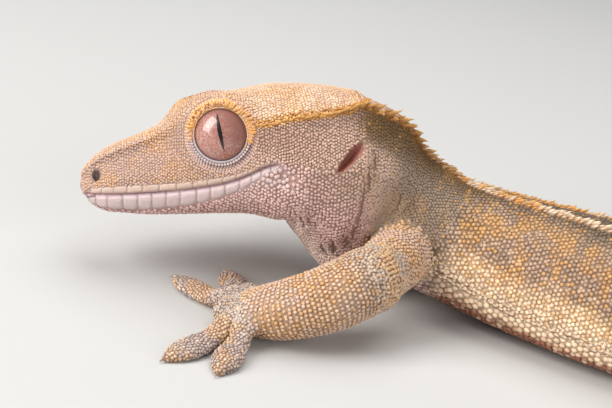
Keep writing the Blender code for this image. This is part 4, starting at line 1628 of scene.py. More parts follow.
class Scatter:
    """The node tree that sets one form on points and gives it the scales' map."""

    def __init__(self) -> None:
        """Builds the tree, with named inputs for the form, the patch's size and the material."""
        self.tree = bpy.data.node_groups.new("scatter", "GeometryNodeTree")
        self._socket("Points", "Geometry")
        self.form = self._socket("Form", "Object")
        self.patch = self._socket("Patch size", "Float")
        self.material = self._socket("Material", "Material")
        self._socket("Scales", "Geometry", "OUTPUT")
        given, made = self.tree.nodes.new("NodeGroupInput"), self.tree.nodes.new("NodeGroupOutput")
        info = self._node("GeometryNodeObjectInfo", {"transform_space": "ORIGINAL"},
                          {"Object": given.outputs["Form"]})
        size = self._read("size", "FLOAT_VECTOR")
        turn = self._read("turn", "QUATERNION")
        placed = self._node("GeometryNodeInstanceOnPoints", {}, {
            "Points": given.outputs["Points"], "Instance": info.outputs["Geometry"],
            "Rotation": turn.outputs[0], "Scale": size.outputs[0]})
        real = self._node("GeometryNodeRealizeInstances", {}, {0: placed.outputs[0]})
        spread = self._node("ShaderNodeVectorMath", {"operation": "SCALE"}, {
            0: self._read("patch", "FLOAT_VECTOR").outputs[0], "Scale": given.outputs["Patch size"]})
        chart = self._node("ShaderNodeVectorMath", {"operation": "ADD"}, {
            0: spread.outputs[0], 1: self._read("chart", "FLOAT_VECTOR").outputs[0]})
        stored = self._node("GeometryNodeStoreNamedAttribute", {"data_type": "FLOAT2", "domain": "CORNER"}, {
            "Geometry": real.outputs[0], "Name": "OFBake", "Value": chart.outputs[0]})
        smooth = self._node("GeometryNodeSetShadeSmooth", {}, {"Geometry": stored.outputs[0]})
        dressed = self._node("GeometryNodeSetMaterial", {}, {
            "Geometry": smooth.outputs[0], "Material": given.outputs["Material"]})
        self.tree.links.new(dressed.outputs[0], made.inputs[0])

    def _socket(self, name: str, kind: str, way: str = "INPUT") -> str:
        """Adds an input or an output to the tree and returns its identifier."""
        return self.tree.interface.new_socket(name, in_out=way, socket_type=f"NodeSocket{kind}").identifier

    def _node(self, kind: str, settings: dict, inputs: dict) -> bpy.types.Node:
        """Adds a node with its settings first and then its inputs."""
        node = self.tree.nodes.new(kind)
        for name, value in settings.items():
            setattr(node, name, value)
        for name, value in inputs.items():
            if isinstance(value, bpy.types.NodeSocket):
                self.tree.links.new(value, node.inputs[name])
            else:
                node.inputs[name].default_value = value
        return node

    def _read(self, name: str, kind: str) -> bpy.types.Node:
        """Reads a stored attribute."""
        return self._node("GeometryNodeInputNamedAttribute", {"data_type": kind}, {"Name": name})

    def apply(self, obj: Object, form: Object, material: Material) -> None:
        """Runs the tree on an object of points and keeps the result as its plain mesh.

        Args:
            obj: the points, with their stored sizes, turns and places on the map.
            form: what is set on each.
            material: what it's made of.
        """
        modifier = obj.modifiers.new("scatter", "NODES")
        modifier.node_group = self.tree
        modifier[self.form], modifier[self.patch], modifier[self.material] = form, PATCH, material
        bpy.context.view_layer.update()
        made = bpy.data.meshes.new_from_object(obj.evaluated_get(bpy.context.evaluated_depsgraph_get()))
        obj.modifiers.remove(modifier)
        old, obj.data = obj.data, made
        bpy.data.meshes.remove(old)
        for name in ("size", "turn", "patch", "chart"):
            if name in made.attributes:
                made.attributes.remove(made.attributes[name])
        made.uv_layers["OFBake"].active = True
        made.uv_layers["OFBake"].active_render = True
        made.name = obj.name


@dataclass
class Coat:
    """Scales gathered for one piece: where they stand, how they turn, their sizes and colours."""

    name: str
    form: ScaleForm
    places: list[Array] = field(default_factory=list)
    normals: list[Array] = field(default_factory=list)
    backs: list[Array] = field(default_factory=list)
    sizes: list[Array] = field(default_factory=list)
    tints: list[Array] = field(default_factory=list)
    charts: list[Array] = field(default_factory=list)

    def add(self, place: Array, normal: Array, back: Array, size: Array, tint: Array,
            chart: Array) -> None:
        """Adds scales.

        Args:
            place: roots in millimetres of the model's frame.
            normal: the way each stands.
            back: the way each points along the skin.
            size: half length, half width and height, in millimetres.
            tint: linear colours.
            chart: places on the map.
        """
        stores = (self.places, self.normals, self.backs, self.sizes, self.tints, self.charts)
        for store, value in zip(stores, (place, normal, back, size, tint, chart)):
            store.append(np.asarray(value, float))

    def build(self, scatter: Scatter, forms: dict[ScaleForm, Object],
              material: Material) -> Object:
        """Turns the gathered scales into one mesh.

        Args:
            scatter: the node tree.
            forms: the made form of each kind.
            material: what the scales are made of.

        Returns:
            The piece.
        """
        place, normal = np.concatenate(self.places), unit(np.concatenate(self.normals))
        back = np.concatenate(self.backs)
        back = unit(back - normal * (back * normal).sum(1)[:, None])
        side = np.cross(normal, back)
        turns = [Matrix(m.tolist()).to_quaternion() for m in np.stack([back, side, normal], axis=2)]
        mesh = bpy.data.meshes.new(self.name)
        mesh.from_pydata((place * MM).tolist(), [], [])
        obj = linked(self.name, mesh)
        chart = np.column_stack([np.concatenate(self.charts), np.zeros(len(place))])
        stored = (("turn", "QUATERNION", "value", [tuple(q) for q in turns]),
                  ("size", "FLOAT_VECTOR", "vector", np.concatenate(self.sizes) * MM),
                  ("chart", "FLOAT_VECTOR", "vector", chart))
        for name, kind, key, values in stored:
            mesh.attributes.new(name, kind, "POINT").data.foreach_set(key, np.ravel(values))
        colour_points(mesh, "tint", np.concatenate(self.tints))
        scatter.apply(obj, forms[self.form], material)
        log.info("%s: %d scales, %d faces", self.name, len(place), len(obj.data.polygons))
        return obj


@dataclass(frozen=True)
class Zone:
    """A stretch of the body whose scales are alike.

    Attributes:
        piece: the coat piece they go to.
        start, end: distances from the snout.
        low, high: rails, from 0 on the crown to 14 below; the right side is the same.
        spacing: from one scale to the next, in millimetres.
        height: how far a scale rises.
        form: its shape.
        wild: how unlike its neighbours a scale's colour is.
        spark: a second colour that some scales have.
        share: how many have it.
    """

    piece: str
    start: float
    end: float
    low: float
    high: float
    spacing: float
    height: float
    form: ScaleForm = ScaleForm.GRANULE
    wild: float = 0.10
    spark: str = "gold"
    share: float = 0.08


GRAIN = ScaleForm.GRANULE
ZONES = (
    Zone("scales_crown", 0.62, 32.5, 0.0, 3.0, 0.38, 0.09, GRAIN, 0.06, "gold", 0.12),
    Zone("scales_face", 0.62, 20.5, 3.0, 9.0, 0.36, 0.10, GRAIN, 0.06, "gold", 0.08),
    Zone("scales_temple", 20.5, 33.0, 3.0, 7.7, 0.36, 0.15, GRAIN, 0.09, "cheek", 0.12),
    Zone("scales_jaw", 20.5, 33.0, 7.6, 11.4, 0.46, 0.17, GRAIN, 0.09, "lip", 0.15),
    Zone("scales_jaw", 0.62, 20.5, 9.0, 11.3, 0.40, 0.12, GRAIN, 0.08, "lip", 0.3),
    Zone("scales_corner", 20.8, 25.0, 9.3, 11.0, 0.60, 0.16, GRAIN, 0.07, "lower_lip", 0.8),
    Zone("scales_throat", 1.6, 46.0, 11.3, 14.0, 0.48, 0.15, GRAIN, 0.09, "lip", 0.15),
    Zone("scales_neck", 33.0, 47.0, 0.0, 11.3, 0.42, 0.08, GRAIN, 0.05, "gold", 0.02),
    Zone("scales_back", 47.0, 104.0, 0.0, 6.0, 0.52, 0.13, GRAIN, 0.09, "gold", 0.12),
    Zone("scales_flank", 47.0, 104.0, 6.0, 11.2, 0.56, 0.16, ScaleForm.BEAD, 0.10, "gold", 0.20),
    Zone("scales_belly", 46.0, 104.0, 11.2, 14.0, 0.82, 0.16, GRAIN, 0.12, "cream", 0.12),
    Zone("scales_tail", 104.0, 209.4, 0.0, 14.0, 0.62, 0.17, GRAIN, 0.14, "cream", 0.10),
)


@dataclass
class Scales:
    """Every ordinary scale on the body, limbs and digits, in staggered rows.

    Attributes:
        skin: the finished skin.
        markings: the colours, as on the skin.
        corner: the distances and rails of the larger scales behind the corner of the mouth.
        eye_clear: how far from the eye's axis the scales start, on the head's sides beyond a half width.
        ear_clear: half sizes of the bare slit at the ear, across and along.
        seed: of the random draws.
    """

    skin: SkinMap
    markings: Markings
    body: BodyShape = BodyShape()
    corner: tuple[float, float, float, float] = (20.9, 24.9, 9.35, 10.8)
    eye_clear: tuple[float, float] = (4.15, 5.5)
    ear_clear: tuple[float, float] = (0.8, 2.7)
    seed: int = 5

    def __post_init__(self) -> None:
        """Starts with no pieces and a fixed seed."""
        self.coats: dict[str, Coat] = {}
        self.rng = np.random.default_rng(self.seed)

    def rows(self, at: Callable, start: float, end: float, low: float, high: float,
             spacing: float) -> tuple[Array, Array, Array]:
        """Staggered rows across a surface.

        Args:
            at: the surface, a function of distances and rails.
            start, end: the distances covered.
            low, high: the rails covered.
            spacing: between neighbours.

        Returns:
            Distances, rails and how far each place is above the mouth's rail, in millimetres.
        """
        found, s, row, step = [], start, 0, 0.05
        fine = np.linspace(low, high, 120)
        whole = np.linspace(0, 14, 141)
        while s < end:
            here = at(np.full(len(fine), s), fine)
            stretch = np.percentile(norm(at(np.full(len(fine), s + step), fine) - here), 60) / step
            along = distances(here)
            count = int(along[-1] / spacing)
            if count > 0:
                wanted = (np.arange(count) + 0.25 + 0.5 * (row % 2)) * along[-1] / count
                u = np.interp(wanted, along, fine)
                arc = distances(at(np.full(len(whole), s), whole))
                above = np.interp(MOUTH_RAIL, whole, arc) - np.interp(u, whole, arc)
                found.append(np.column_stack([np.full(count, s), u, above]))
            s += ROW_SHARE * spacing / max(float(stretch), 0.45)
            row += 1
        return tuple(np.concatenate(found).T)

    def clear(self, points: Array) -> Array:
        """Which points of the model's frame keep off the eyes, nostrils and ears."""
        back, left, up = ((points - DRAWING.shift() - np.array(DRAWING.snout)) @ DRAWING.axes()).T
        side = np.abs(left)
        reach, flat = self.eye_clear
        good = (np.hypot(back - EYE.rim[0], up - EYE.rim[2]) > reach) | (side < flat)
        good &= norm(np.column_stack([back, side, up]) - NOSTRIL.place) > NOSTRIL.inside_reach
        slant = math.radians(EAR.lean)
        x, z = back - EAR.place[0], up - EAR.place[2]
        across, along = self.ear_clear
        good &= ((x * math.sin(slant) + z * math.cos(slant)) / along) ** 2 + (
            (x * math.cos(slant) - z * math.sin(slant)) / across) ** 2 > 1
        return good

    def dress(self, zone: Zone, at: Callable, kind: Region, tint: Callable, s: Array, u: Array,
              reach: float, jitter: float = 0.11) -> None:
        """Lands one zone's scales on the skin of one region and adds them to its piece.

        Args:
            zone: their spacing, height, form and colours.
            at: the surface, a function of distances and rails.
            kind: the region they have to land on.
            tint: the colours, a function of distances, rails and places in the drawing.
            s, u: their distances and rails.
            reach: how far the skin may be.
            jitter: how far they stray, as a share of the spacing.
        """
        shift, step = DRAWING.shift(), 0.05
        points = at(s, u) + shift
        points = points + self.rng.normal(0, jitter * zone.spacing, points.shape)
        landed, normal, kept, nearest = self.skin.land(points, reach)
        s, u = s[kept], u[kept]
        good = self.clear(landed) & (self.skin.region[nearest] == kind.value)
        middle = at(s, u) + shift
        sideways = unit(at(s, u + step) + shift - middle)
        lengthwise = unit(at(s + step, u) + shift - middle)
        good &= np.abs((np.cross(sideways, lengthwise) * normal).sum(1)) > 0.12
        landed, normal, nearest, lengthwise = (v[good] for v in (landed, normal, nearest, lengthwise))
        s, u = s[good], u[good]
        count = len(s)
        if not count:
            return
        colour = tint(s, u, landed - shift)
        bright = 1 + self.rng.normal(0, zone.wild, count)
        colour = colour * bright[:, None]
        spark = np.array(getattr(self.markings.palette, zone.spark))
        chosen = self.rng.random(count) < zone.share
        colour[chosen] = colour[chosen] * 0.45 + spark * 0.55
        half = 0.56 * zone.spacing * (1 + self.rng.normal(0, 0.07, count))
        size = np.column_stack([half * 1.02, half, zone.height * (1 + self.rng.normal(0, 0.14, count))])
        flat = landed[:, 2] < 0.2
        size[flat, 2] = np.minimum(size[flat, 2], 0.12)
        coat = self.coats.setdefault(zone.piece, Coat(zone.piece, zone.form))
        coat.add(landed, normal, lengthwise, size, np.clip(colour, 0.008, 0.97), self.skin.chart[nearest])

    def on_body(self) -> None:
        """The head's, trunk's and tail's scales, on both sides."""
        for zone in ZONES:
            s, u, above = self.rows(self.body.at, zone.start, zone.end, zone.low, zone.high, zone.spacing)
            plates = (s > Lips.ends[0]) & (s < Lips.ends[1])
            plates &= (above < Lips.upper(s)) & (above > -Lips.lower(s) - 0.05)
            start, end, low, high = self.corner
            corner = (s > start) & (s < end) & (u > low) & (u < high)
            keep = ~plates & (corner if zone.piece == "scales_corner" else ~corner)
            s, u = s[keep], u[keep]
            for side in (1, -1):
                self.dress(zone, self.body.at, Region.BODY, self.markings.body, s, mirrored(u, side), 1.5)

    def on_limbs(self) -> None:
        """The scales of the limbs and digits."""
        for limb in LIMBS:
            kind = Region.ARM if "arm" in limb.name else Region.LEG
            piece = "scales_arms" if kind is Region.ARM else "scales_legs"
            bead = ScaleForm.BEAD
            for tube in limb.lengths():
                self._on_tube(tube, Zone(piece, 0, 0, 0, 0, 0.50, 0.17, bead, 0.08, "gold", 0.12), kind)
            digits = Zone("scales_digits", 0, 0, 0, 0, 0.43, 0.13, bead, 0.09, "cream", 0.08)
            for tube in limb.digits():
                self._on_tube(tube, digits, Region.DIGIT)

    def _on_tube(self, tube: Tube, zone: Zone, kind: Region) -> None:
        """One limb length's or digit's scales.

        Args:
            tube: its shape.
            zone: its scales.
            kind: the region they stand on.
        """
        low, high = tube.span()
        total = tube.length()
        found, row, s = [], 0, low + 0.25
        fine = np.linspace(0, 28, 80)
        while s < high - 0.1:
            along = distances(tube.at(np.full(len(fine), s), fine))
            count = max(3, int(along[-1] / zone.spacing))
            wanted = (np.arange(count) + 0.5 * (row % 2)) * along[-1] / count
            found.append(np.column_stack([np.full(count, s), np.interp(wanted, along, fine)]))
            s += ROW_SHARE * zone.spacing
            row += 1
        s, u = np.concatenate(found).T
        self.dress(zone, tube.at, kind, lambda q, _, p: self.markings.limb(kind, q / total, p), s, u, 0.6)

    def build(self) -> list[Coat]:
        """Gathers all the scales.

        Returns:
            The coat pieces, not yet made into meshes.
        """
        self.on_body()
        self.on_limbs()
        return list(self.coats.values())


@dataclass(frozen=True)
class ScaleFinish:
    """Dry scales over the shared markings, each with painted shade at its root and a painted highlight at
    its tip.

    Attributes:
        name: the material's name.
        root, tip: what the tint is multiplied by for the painted shade at a scale's root and the painted
            highlight at its tip.
        roughness: of the scale's face.
    """

    name: str = "dry_scales"
    root: Triple = (0.56, 0.47, 0.45)
    tip: Triple = (1.13, 1.12, 1.11)
    roughness: float = 0.5

    def make(self) -> Material:
        """Builds the material."""
        book = Nodes(self.name)
        tint = book.attribute("tint")
        rise = book.attribute("rise", "Fac")
        # Painted shade at each scale's root and a painted highlight at its tip, by how far the point rises.
        shade = book.mix(rise.span(0.22, 0.92), (*self.root, 1.0), (*self.tip, 1.0))
        grain = book.noise(9000.0, 2.0)
        return book.finish(Base_Color=book.mix(1.0, tint, shade, "MULTIPLY"),
                           Roughness=self.roughness + 0.12 * (grain - 0.5), Subsurface_Weight=0.10,
                           Subsurface_Radius=(0.6, 0.3, 0.2), Subsurface_Scale=0.0004,
                           Normal=book.bump(grain, 0.00001, 0.4))


# Lips, rims, crest and claws


@dataclass
class Moulding:
    """Small closed shapes gathered into one piece with tints, rises and the scales' map.

    Attributes:
        name: the piece's name.
    """

    name: str
    points: list[Array] = field(default_factory=list)
    faces: list[Array] = field(default_factory=list)
    tints: list[Array] = field(default_factory=list)
    rises: list[Array] = field(default_factory=list)
    charts: list[Array] = field(default_factory=list)
    count: int = 0

    def slab(self, top: Array, under: Array, tint: Array, rise: Array,
             chart: Array, ringed: bool = False) -> None:
        """Adds a closed slab between two grids of points.

        Args:
            top, under: grids of shape (rows, columns, 3), in millimetres of the model's frame.
            tint: a colour for each point of the grid, or one for all.
            rise: how far each point of the top stands out, 0 to 1.
            chart: the slab's place on the map.
            ringed: whether the rows close on themselves.
        """
        rows, columns = top.shape[:2]
        off, strips = rows * columns, rows if ringed else rows - 1
        i, j = np.meshgrid(np.arange(strips), np.arange(columns - 1), indexing="ij")
        a = i * columns + j
        b = ((i + 1) % rows) * columns + j
        upper = np.stack([a, b, b + 1, a + 1], -1).reshape(-1, 4)
        lower = upper[:, ::-1] + off
        edge = [(r * columns, ((r + 1) % rows) * columns) for r in range(strips)]
        edge = [(q, p) for p, q in edge] + [(p + columns - 1, q + columns - 1) for p, q in edge]
        if not ringed:
            last = off - columns
            edge += [(c, c + 1) for c in range(columns - 1)]
            edge += [(last + c + 1, last + c) for c in range(columns - 1)]
        sides = np.array([(q, p, p + off, q + off) for p, q in edge])
        self.faces.append(np.concatenate([upper, lower, sides]) + self.count)
        self.points += [top.reshape(-1, 3), under.reshape(-1, 3)]
        tint = np.broadcast_to(tint, (rows, columns, 3)).reshape(-1, 3)
        self.tints += [tint, tint]
        self.rises += [rise.ravel(), np.zeros(off)]
        x, y = np.meshgrid(np.linspace(-0.5, 0.5, rows), np.linspace(-0.5, 0.5, columns), indexing="ij")
        patch = np.asarray(chart) + PATCH * np.stack([x, y], -1).reshape(-1, 2)
        self.charts += [patch, patch]
        self.count += 2 * off

    def build(self, material: Material) -> Object:
        """Turns what was gathered into one object.

        Args:
            material: what it's made of.

        Returns:
            The piece.
        """
        faces = np.concatenate(self.faces)
        obj = mesh_object(self.name, np.concatenate(self.points) * MM, faces)
        mesh = obj.data
        bm = bmesh.new()
        bm.from_mesh(mesh)
        bmesh.ops.recalc_face_normals(bm, faces=bm.faces)
        bm.to_mesh(mesh)
        bm.free()
        colour_points(mesh, "tint", np.concatenate(self.tints))
        mesh.attributes.new("rise", "FLOAT", "POINT").data.foreach_set("value", np.concatenate(self.rises))
        corners = np.empty(len(mesh.loops), np.int32)
        mesh.loops.foreach_get("vertex_index", corners)
        layer = mesh.uv_layers.new(name="OFBake")
        layer.data.foreach_set("uv", np.concatenate(self.charts)[corners].ravel())
        mesh.shade_smooth()
        mesh.materials.append(material)
        log.info("%s: %d faces", self.name, len(faces))
        return obj


def rail_at(body: BodyShape, s: float, start: float, below: Array) -> Array:
    """Rails that lie given distances below a rail, measured along the skin of one section.

    Args:
        body: the body's shape.
        s: the section.
        start: the rail to measure from.
        below: distances down, in millimetres; negative ones go up.

    Returns:
        The rails, from 0 to 14.
    """
    u = np.linspace(0, 14, 281)
    along = distances(body.at(np.full(len(u), s), u))
    return np.interp(np.interp(start, u, along) + below, along, u)


@dataclass
class Lips:
    """The plates along both lips.

    Attributes:
        skin: the finished skin.
        ends: where the rows of plates start and end.
        lower: the height of the lower plates along the mouth.
        upper: the height of the upper plates.
        width: the width of a plate along the mouth.
        bulges: how far a lower and an upper plate bulge.
        joints: how light a lower and an upper plate's rim is.
        shade: the colour of the lower plates where they meet the mouth.
        root: how deep a plate reaches into the skin.
    """

    skin: SkinMap
    body: BodyShape = BodyShape()
    ends: tuple[float, float] = (1.3, 22.9)
    lower: Profile = Profile((
        (0.6, 1.1), (3.0, 2.1), (8.0, 2.5), (12.0, 2.4), (16.0, 1.9), (19.0, 1.45), (21.0, 1.1),
        (23.0, 0.7)))
    upper: Profile = Profile(((0.6, 0.6), (3.0, 1.1), (12.0, 1.2), (20.0, 0.85), (23.0, 0.5)))
    width: Profile = Profile(((0.6, 0.9), (3.0, 1.55), (10.0, 1.72), (16.0, 1.55), (20.0, 1.2), (23.0, 0.9)))
    bulges: tuple[float, float] = (0.10, 0.045)
    joints: tuple[float, float] = (0.4, 0.9)
    shade: Triple = (0.50, 0.37, 0.47)
    root: float = 0.28

    def plate(self, piece: Moulding, side: int, first: float, last: float, lower: bool, tint: Array) -> None:
        """Adds one plate.

        Args:
            piece: where it goes.
            side: 1 for the left side, -1 for the right.
            first, last: the sections where it starts and ends.
            lower: whether it's on the lower lip, where plates are rounder and darken towards the mouth.
            tint: its colour.
        """
        rows, columns = 8, 8
        x, y = np.linspace(-1, 1, rows), np.linspace(-1, 1, columns)
        points = []
        for share in (x + 1) / 2:
            s = first + (last - first) * share
            end = 1 - 0.2 * abs(2 * share - 1) ** 3 if lower else 1.0
            low, high = (0.0, self.lower(s)) if lower else (-self.upper(s), -0.04)
            u = rail_at(self.body, s, MOUTH_RAIL, low + (high - low) * end * (y + 1) / 2)
            points.append(self.body.at(np.full(columns, s), mirrored(u, side)))
        landed, normal, _, nearest = self.skin.land(np.concatenate(points) + DRAWING.shift(), 3.0)
        landed, normal = landed.reshape(rows, columns, 3), normal.reshape(rows, columns, 3)
        bulge, joint = (pair[0 if lower else 1] for pair in (self.bulges, self.joints))
        pillow = ((1 - np.abs(x) ** 4)[:, None] * (1 - np.abs(y) ** 4)[None, :]) ** 0.4
        top = landed + normal * (bulge * pillow - (0.02 if lower else -0.01))[..., None]
        if lower:
            tint = tint + (np.array(self.shade) - tint) * (0.5 * (1 - ease((y + 1) / 0.5)))[None, :, None]
        rise = joint + (1 - joint) * np.clip(pillow ** 1.2, 0, 1)
        piece.slab(top, landed - normal * self.root, tint, rise, self.skin.chart[nearest[len(nearest) // 2]])

    def build(self, markings: Markings, material: Material) -> Object:
        """Makes every lip plate as one piece.

        Args:
            markings: the colours.
            material: what the plates are made of.

        Returns:
            The piece.
        """
        piece, rng = Moulding("lip_plates"), np.random.default_rng(8)
        hue = markings.palette
        for side in (1, -1):
            for lower in (True, False):
                s = self.ends[0] + (0.0 if lower else 0.5)
                while s < self.ends[1]:
                    last = min(s + float(self.width(s)) * float(rng.uniform(0.88, 1.12)), self.ends[1] + 0.4)
                    # The lower plates get darker towards the corner of the mouth.
                    towards_corner = ease((s - 15.0) / 8.0)
                    tint = np.array(hue.lower_lip) * (1 - 0.1 * towards_corner) if lower else np.array(hue.upper_lip)
                    self.plate(piece, side, s, last, lower, tint * rng.uniform(0.94, 1.05))
                    s = last
        return piece.build(material)


@dataclass
class EyeRims:
    """The ring of skin round each eye, the spines over its upper part and the granules round it.

    Attributes:
        skin: the finished skin.
        markings: the colours.
        section: (reach from the eye's axis, height over the rim's plane, rise) from the eye outwards.
        under: the height of the ring's sunk underside.
        sides, notches: sections round the ring, and notches across it.
        spines: (reach, height, first and last angle, step between angles) of each row of spines, in degrees.
        granules: the reach of each row of granules.
    """

    skin: SkinMap
    markings: Markings
    section: tuple[Triple, ...] = (
        (2.99, -0.16, 0.0), (2.95, 0.0, 0.35), (2.97, 0.08, 0.8), (3.02, 0.13, 1.0), (3.08, 0.14, 1.0),
        (3.15, 0.10, 0.95), (3.21, 0.01, 0.8), (3.26, -0.14, 0.6))
    under: float = -0.45
    sides: int = 144
    notches: int = 48
    spines: tuple[tuple[float, float, float, float, float], ...] = (
        (3.12, 0.24, -8, 188, 5.6), (3.34, 0.32, -14, 194, 5.2), (3.58, 0.34, -12, 190, 5.2),
        (3.84, 0.26, 4, 172, 5.2))
    granules: tuple[float, ...] = (3.38, 3.66, 3.94, 4.2)

    def rim(self, side: int) -> Moulding:
        """One eye's ring, pale below and golden above, with fine notches across it.

        Args:
            side: 1 for the left eye, -1 for the right.

        Returns:
            The ring, not yet made into a mesh.
        """
        hue = self.markings.palette
        piece = Moulding("left_eye_rim" if side > 0 else "right_eye_rim")
        angle = np.arange(self.sides) * 2 * math.pi / self.sides
        ripple = np.cos(angle * self.notches)
        above = ease((np.sin(angle + 0.25) + 0.55) / 0.5)
        share = np.linspace(0, 1, len(self.section))
        top, under = [], []
        for k, (reach, out, _) in enumerate(self.section):
            notch = 1 + 0.16 * ripple if k / (len(self.section) - 1) > 0.25 else 1.0
            top.append(DRAWING.put(EYE.ring(side, angle, reach, out * notch * (1 + 0.25 * above))))
            under.append(DRAWING.put(EYE.ring(side, angle, reach, np.full(self.sides, self.under))))
        pale = np.array(hue.rim)
        gold = np.array(hue.spine) * 0.62 + np.array(hue.crown) * 0.22
        tint = pale + (gold - pale) * above[:, None, None] * (0.35 + 0.65 * share)[None, :, None]
        # The rise sets the finish's painted shade and highlight: lightest on the ring's crest, darker at its
        # edges and in the notches.
        rise = np.array([risen for _, _, risen in self.section])
        rise = np.clip(rise[None, :] * (0.82 + 0.18 * ripple)[:, None], 0, 1)
        *_, nearest = self.skin.land((DRAWING.pair(EYE.rim, side) + DRAWING.shift())[None], 30.0)
        chart = self.skin.chart[nearest[0]]
        piece.slab(np.stack(top, 1), np.stack(under, 1), tint, rise, chart, ringed=True)
        return piece

    def lashes(self, rng: np.random.Generator) -> Coat:
        """Spines over both rims.

        Args:
            rng: draws their sizes and colours.

        Returns:
            The spines, not yet made into a mesh.
        """
        spine, crown = np.array(self.markings.palette.spine), np.array(self.markings.palette.crown)
        coat = Coat("eye_lashes", ScaleForm.SPINE)
        for side in (1, -1):
            for reach, height, start, end, step in self.spines:
                angle = np.radians(np.arange(start, end, step) + rng.uniform(-1.5, 1.5))
                angle = angle + rng.normal(0, 0.02, len(angle))
                place = DRAWING.put(EYE.ring(side, angle, reach, 0.12))
                point = unit(DRAWING.put(EYE.ring(side, angle, reach + 1.0, 0.55)) - place)
                landed, normal, kept, nearest = self.skin.land(place, 1.5)
                point, angle = point[kept], angle[kept]
                landed = landed * 0.4 + place[kept] * 0.6 + 0.06 * normal
                size = height * (0.65 + 0.5 * np.sin(np.clip(angle, 0, math.pi)) ** 0.5)
                size = size * rng.uniform(0.5, 1.35, len(angle))
                tint = 1.12 * (spine + (crown - spine) * rng.uniform(0, 0.7, (len(angle), 1)))
                coat.add(landed, unit(point + 0.5 * normal), unit(point - 0.3 * normal), np.column_stack(
                    [0.23 + 0.2 * size, 0.19 + 0.2 * size, size]), tint, self.skin.chart[nearest])
        return coat

    def ground(self, rng: np.random.Generator) -> Coat:
        """Small scales that radiate from each rim.

        Args:
            rng: draws their colours.

        Returns:
            The scales, not yet made into a mesh.
        """
        hue = self.markings.palette
        coat = Coat("scales_rims", ScaleForm.GRANULE)
        for side in (1, -1):
            for row, reach in enumerate(self.granules):
                count = int(2 * math.pi * reach / 0.34)
                angle = (np.arange(count) + 0.5 * (row % 2)) * 2 * math.pi / count
                place = DRAWING.put(EYE.ring(side, angle, reach, 0.06 - 0.06 * row))
                away = unit(DRAWING.put(EYE.ring(side, angle, reach + 0.3, 0.06 - 0.06 * row)) - place)
                landed, normal, kept, nearest = self.skin.land(place, 1.2)
                if row == 0:
                    landed, normal = place[kept], unit(normal + 0.3 * away[kept])
                above = ease((np.sin(angle[kept]) + 0.5) / 0.9)
                tint = blend(np.tile(hue.lip, (len(above), 1)), hue.crown, above)
                tint = blend(tint, hue.rim, (0.6 - 0.3 * row) * (1 - above))
                tint = tint + (np.array(hue.snout) - tint) * (0.2 * row)
                tint *= rng.uniform(0.88, 1.1, (len(tint), 1))
                coat.add(landed, normal, away[kept], np.tile([0.21, 0.20, 0.10], (len(tint), 1)), tint,
                         self.skin.chart[nearest])
        return coat


@dataclass(frozen=True)
class Row:
    """A row of spines.

    Attributes:
        rail: the rail it runs along.
        start, end: distances from the snout.
        scale: how tall its spines are, as a share of the crest's.
    """

    rail: float
    start: float
    end: float
    scale: float


CREST_ROWS = (Row(3.0, 18.8, 107.0, 1.0), Row(2.84, 19.5, 33.5, 0.72), Row(3.16, 20.0, 33.0, 0.62),
              Row(2.72, 33.0, 104.0, 0.72), Row(3.28, 34.0, 102.0, 0.66), Row(2.90, 40.0, 100.0, 0.9))
FRINGE_ROWS = (Row(10.85, 46.0, 103.0, 0.62), Row(11.1, 46.0, 103.0, 0.72), Row(10.55, 46.0, 103.0, 0.42))


@dataclass
class Crest:
    """The spines along both crests, from the eyes to the root of the tail, and the flanks' pale fringe.

    Attributes:
        skin: the finished skin.
        markings: the colours.
        rng: draws places, sizes and colours.
        size: a spine's height by distance from the snout.
        pace: the distance from one to the next.
    """

    skin: SkinMap
    markings: Markings
    rng: np.random.Generator
    body: BodyShape = BodyShape()
    size: Profile = Profile((
        (18.5, 0.34), (24.0, 0.46), (29.0, 0.62), (32.0, 1.15), (34.5, 1.45), (38.0, 1.1), (60.0, 0.95),
        (90.0, 0.85), (107.0, 0.4)))
    pace: Profile = Profile(((18.5, 0.34), (29.0, 0.42), (34.0, 0.72), (60.0, 0.74), (107.0, 0.6)))

    def row(self, coat: Coat, side: int, row: Row, first: Sequence[float], second: Sequence[float],
            lean: float) -> None:
        """Adds one row of spines.

        Args:
            coat: the piece they go to.
            side: 1 for the left side, -1 for the right.
            row: which row.
            first, second: the colours that groups of spines have.
            lean: how far they lean back.
        """
        rng, places = self.rng, []
        s = row.start + rng.uniform(0, 0.4)
        while s < row.end:
            places.append(s)
            s += float(self.pace(s)) * rng.uniform(0.75, 1.25)
        s = np.array(places)
        u = mirrored(row.rail + rng.normal(0, 0.05, len(s)), side)
        landed, normal, kept, nearest = self.skin.land(self.body.at(s, u) + DRAWING.shift(), 0.8)
        s, u = s[kept], u[kept]
        root = self.body.at(s, u)
        back = unit(self.body.at(s + 0.1, u) - root)
        _, _, up, _ = self.body.frames(s)
        tip = unit(0.75 * normal + 0.45 * up + lean * back)
        height = self.size(s) * row.scale * rng.uniform(0.6, 1.3, len(s))
        width = np.clip(0.40 * height + 0.10, 0.17, 0.5)
        group = Mottle(2.6, 11)(root) + rng.normal(0, 0.25, len(s))
        pale = ease((group + 0.3) / 0.5) * ease((s - 36.0) / 12.0)
        tint = np.array(first) + (np.array(second) - np.array(first)) * pale[:, None]
        dim = 1 - 0.3 * bump(s, 39.0, 5.0)
        tint = tint * (dim * rng.uniform(0.85, 1.12, len(s)))[:, None]
        size = np.column_stack([width * 1.15, width * 0.85, height])
        coat.add(landed, tip, unit(back + 0.2 * normal), size, tint, self.skin.chart[nearest])

    def build(self) -> list[Coat]:
        """Gathers the crests and the fringes."""
        hue = self.markings.palette
        crest, fringe = Coat("crest_spines", ScaleForm.SPINE), Coat("flank_fringe", ScaleForm.CONE)
        plan = ((crest, CREST_ROWS, hue.spine, 0.45), (fringe, FRINGE_ROWS, hue.cream, 0.5))
        for coat, rows, first, lean in plan:
            for side in (1, -1):
                for row in rows:
                    self.row(coat, side, row, first, hue.cream, lean)
        return [crest, fringe]


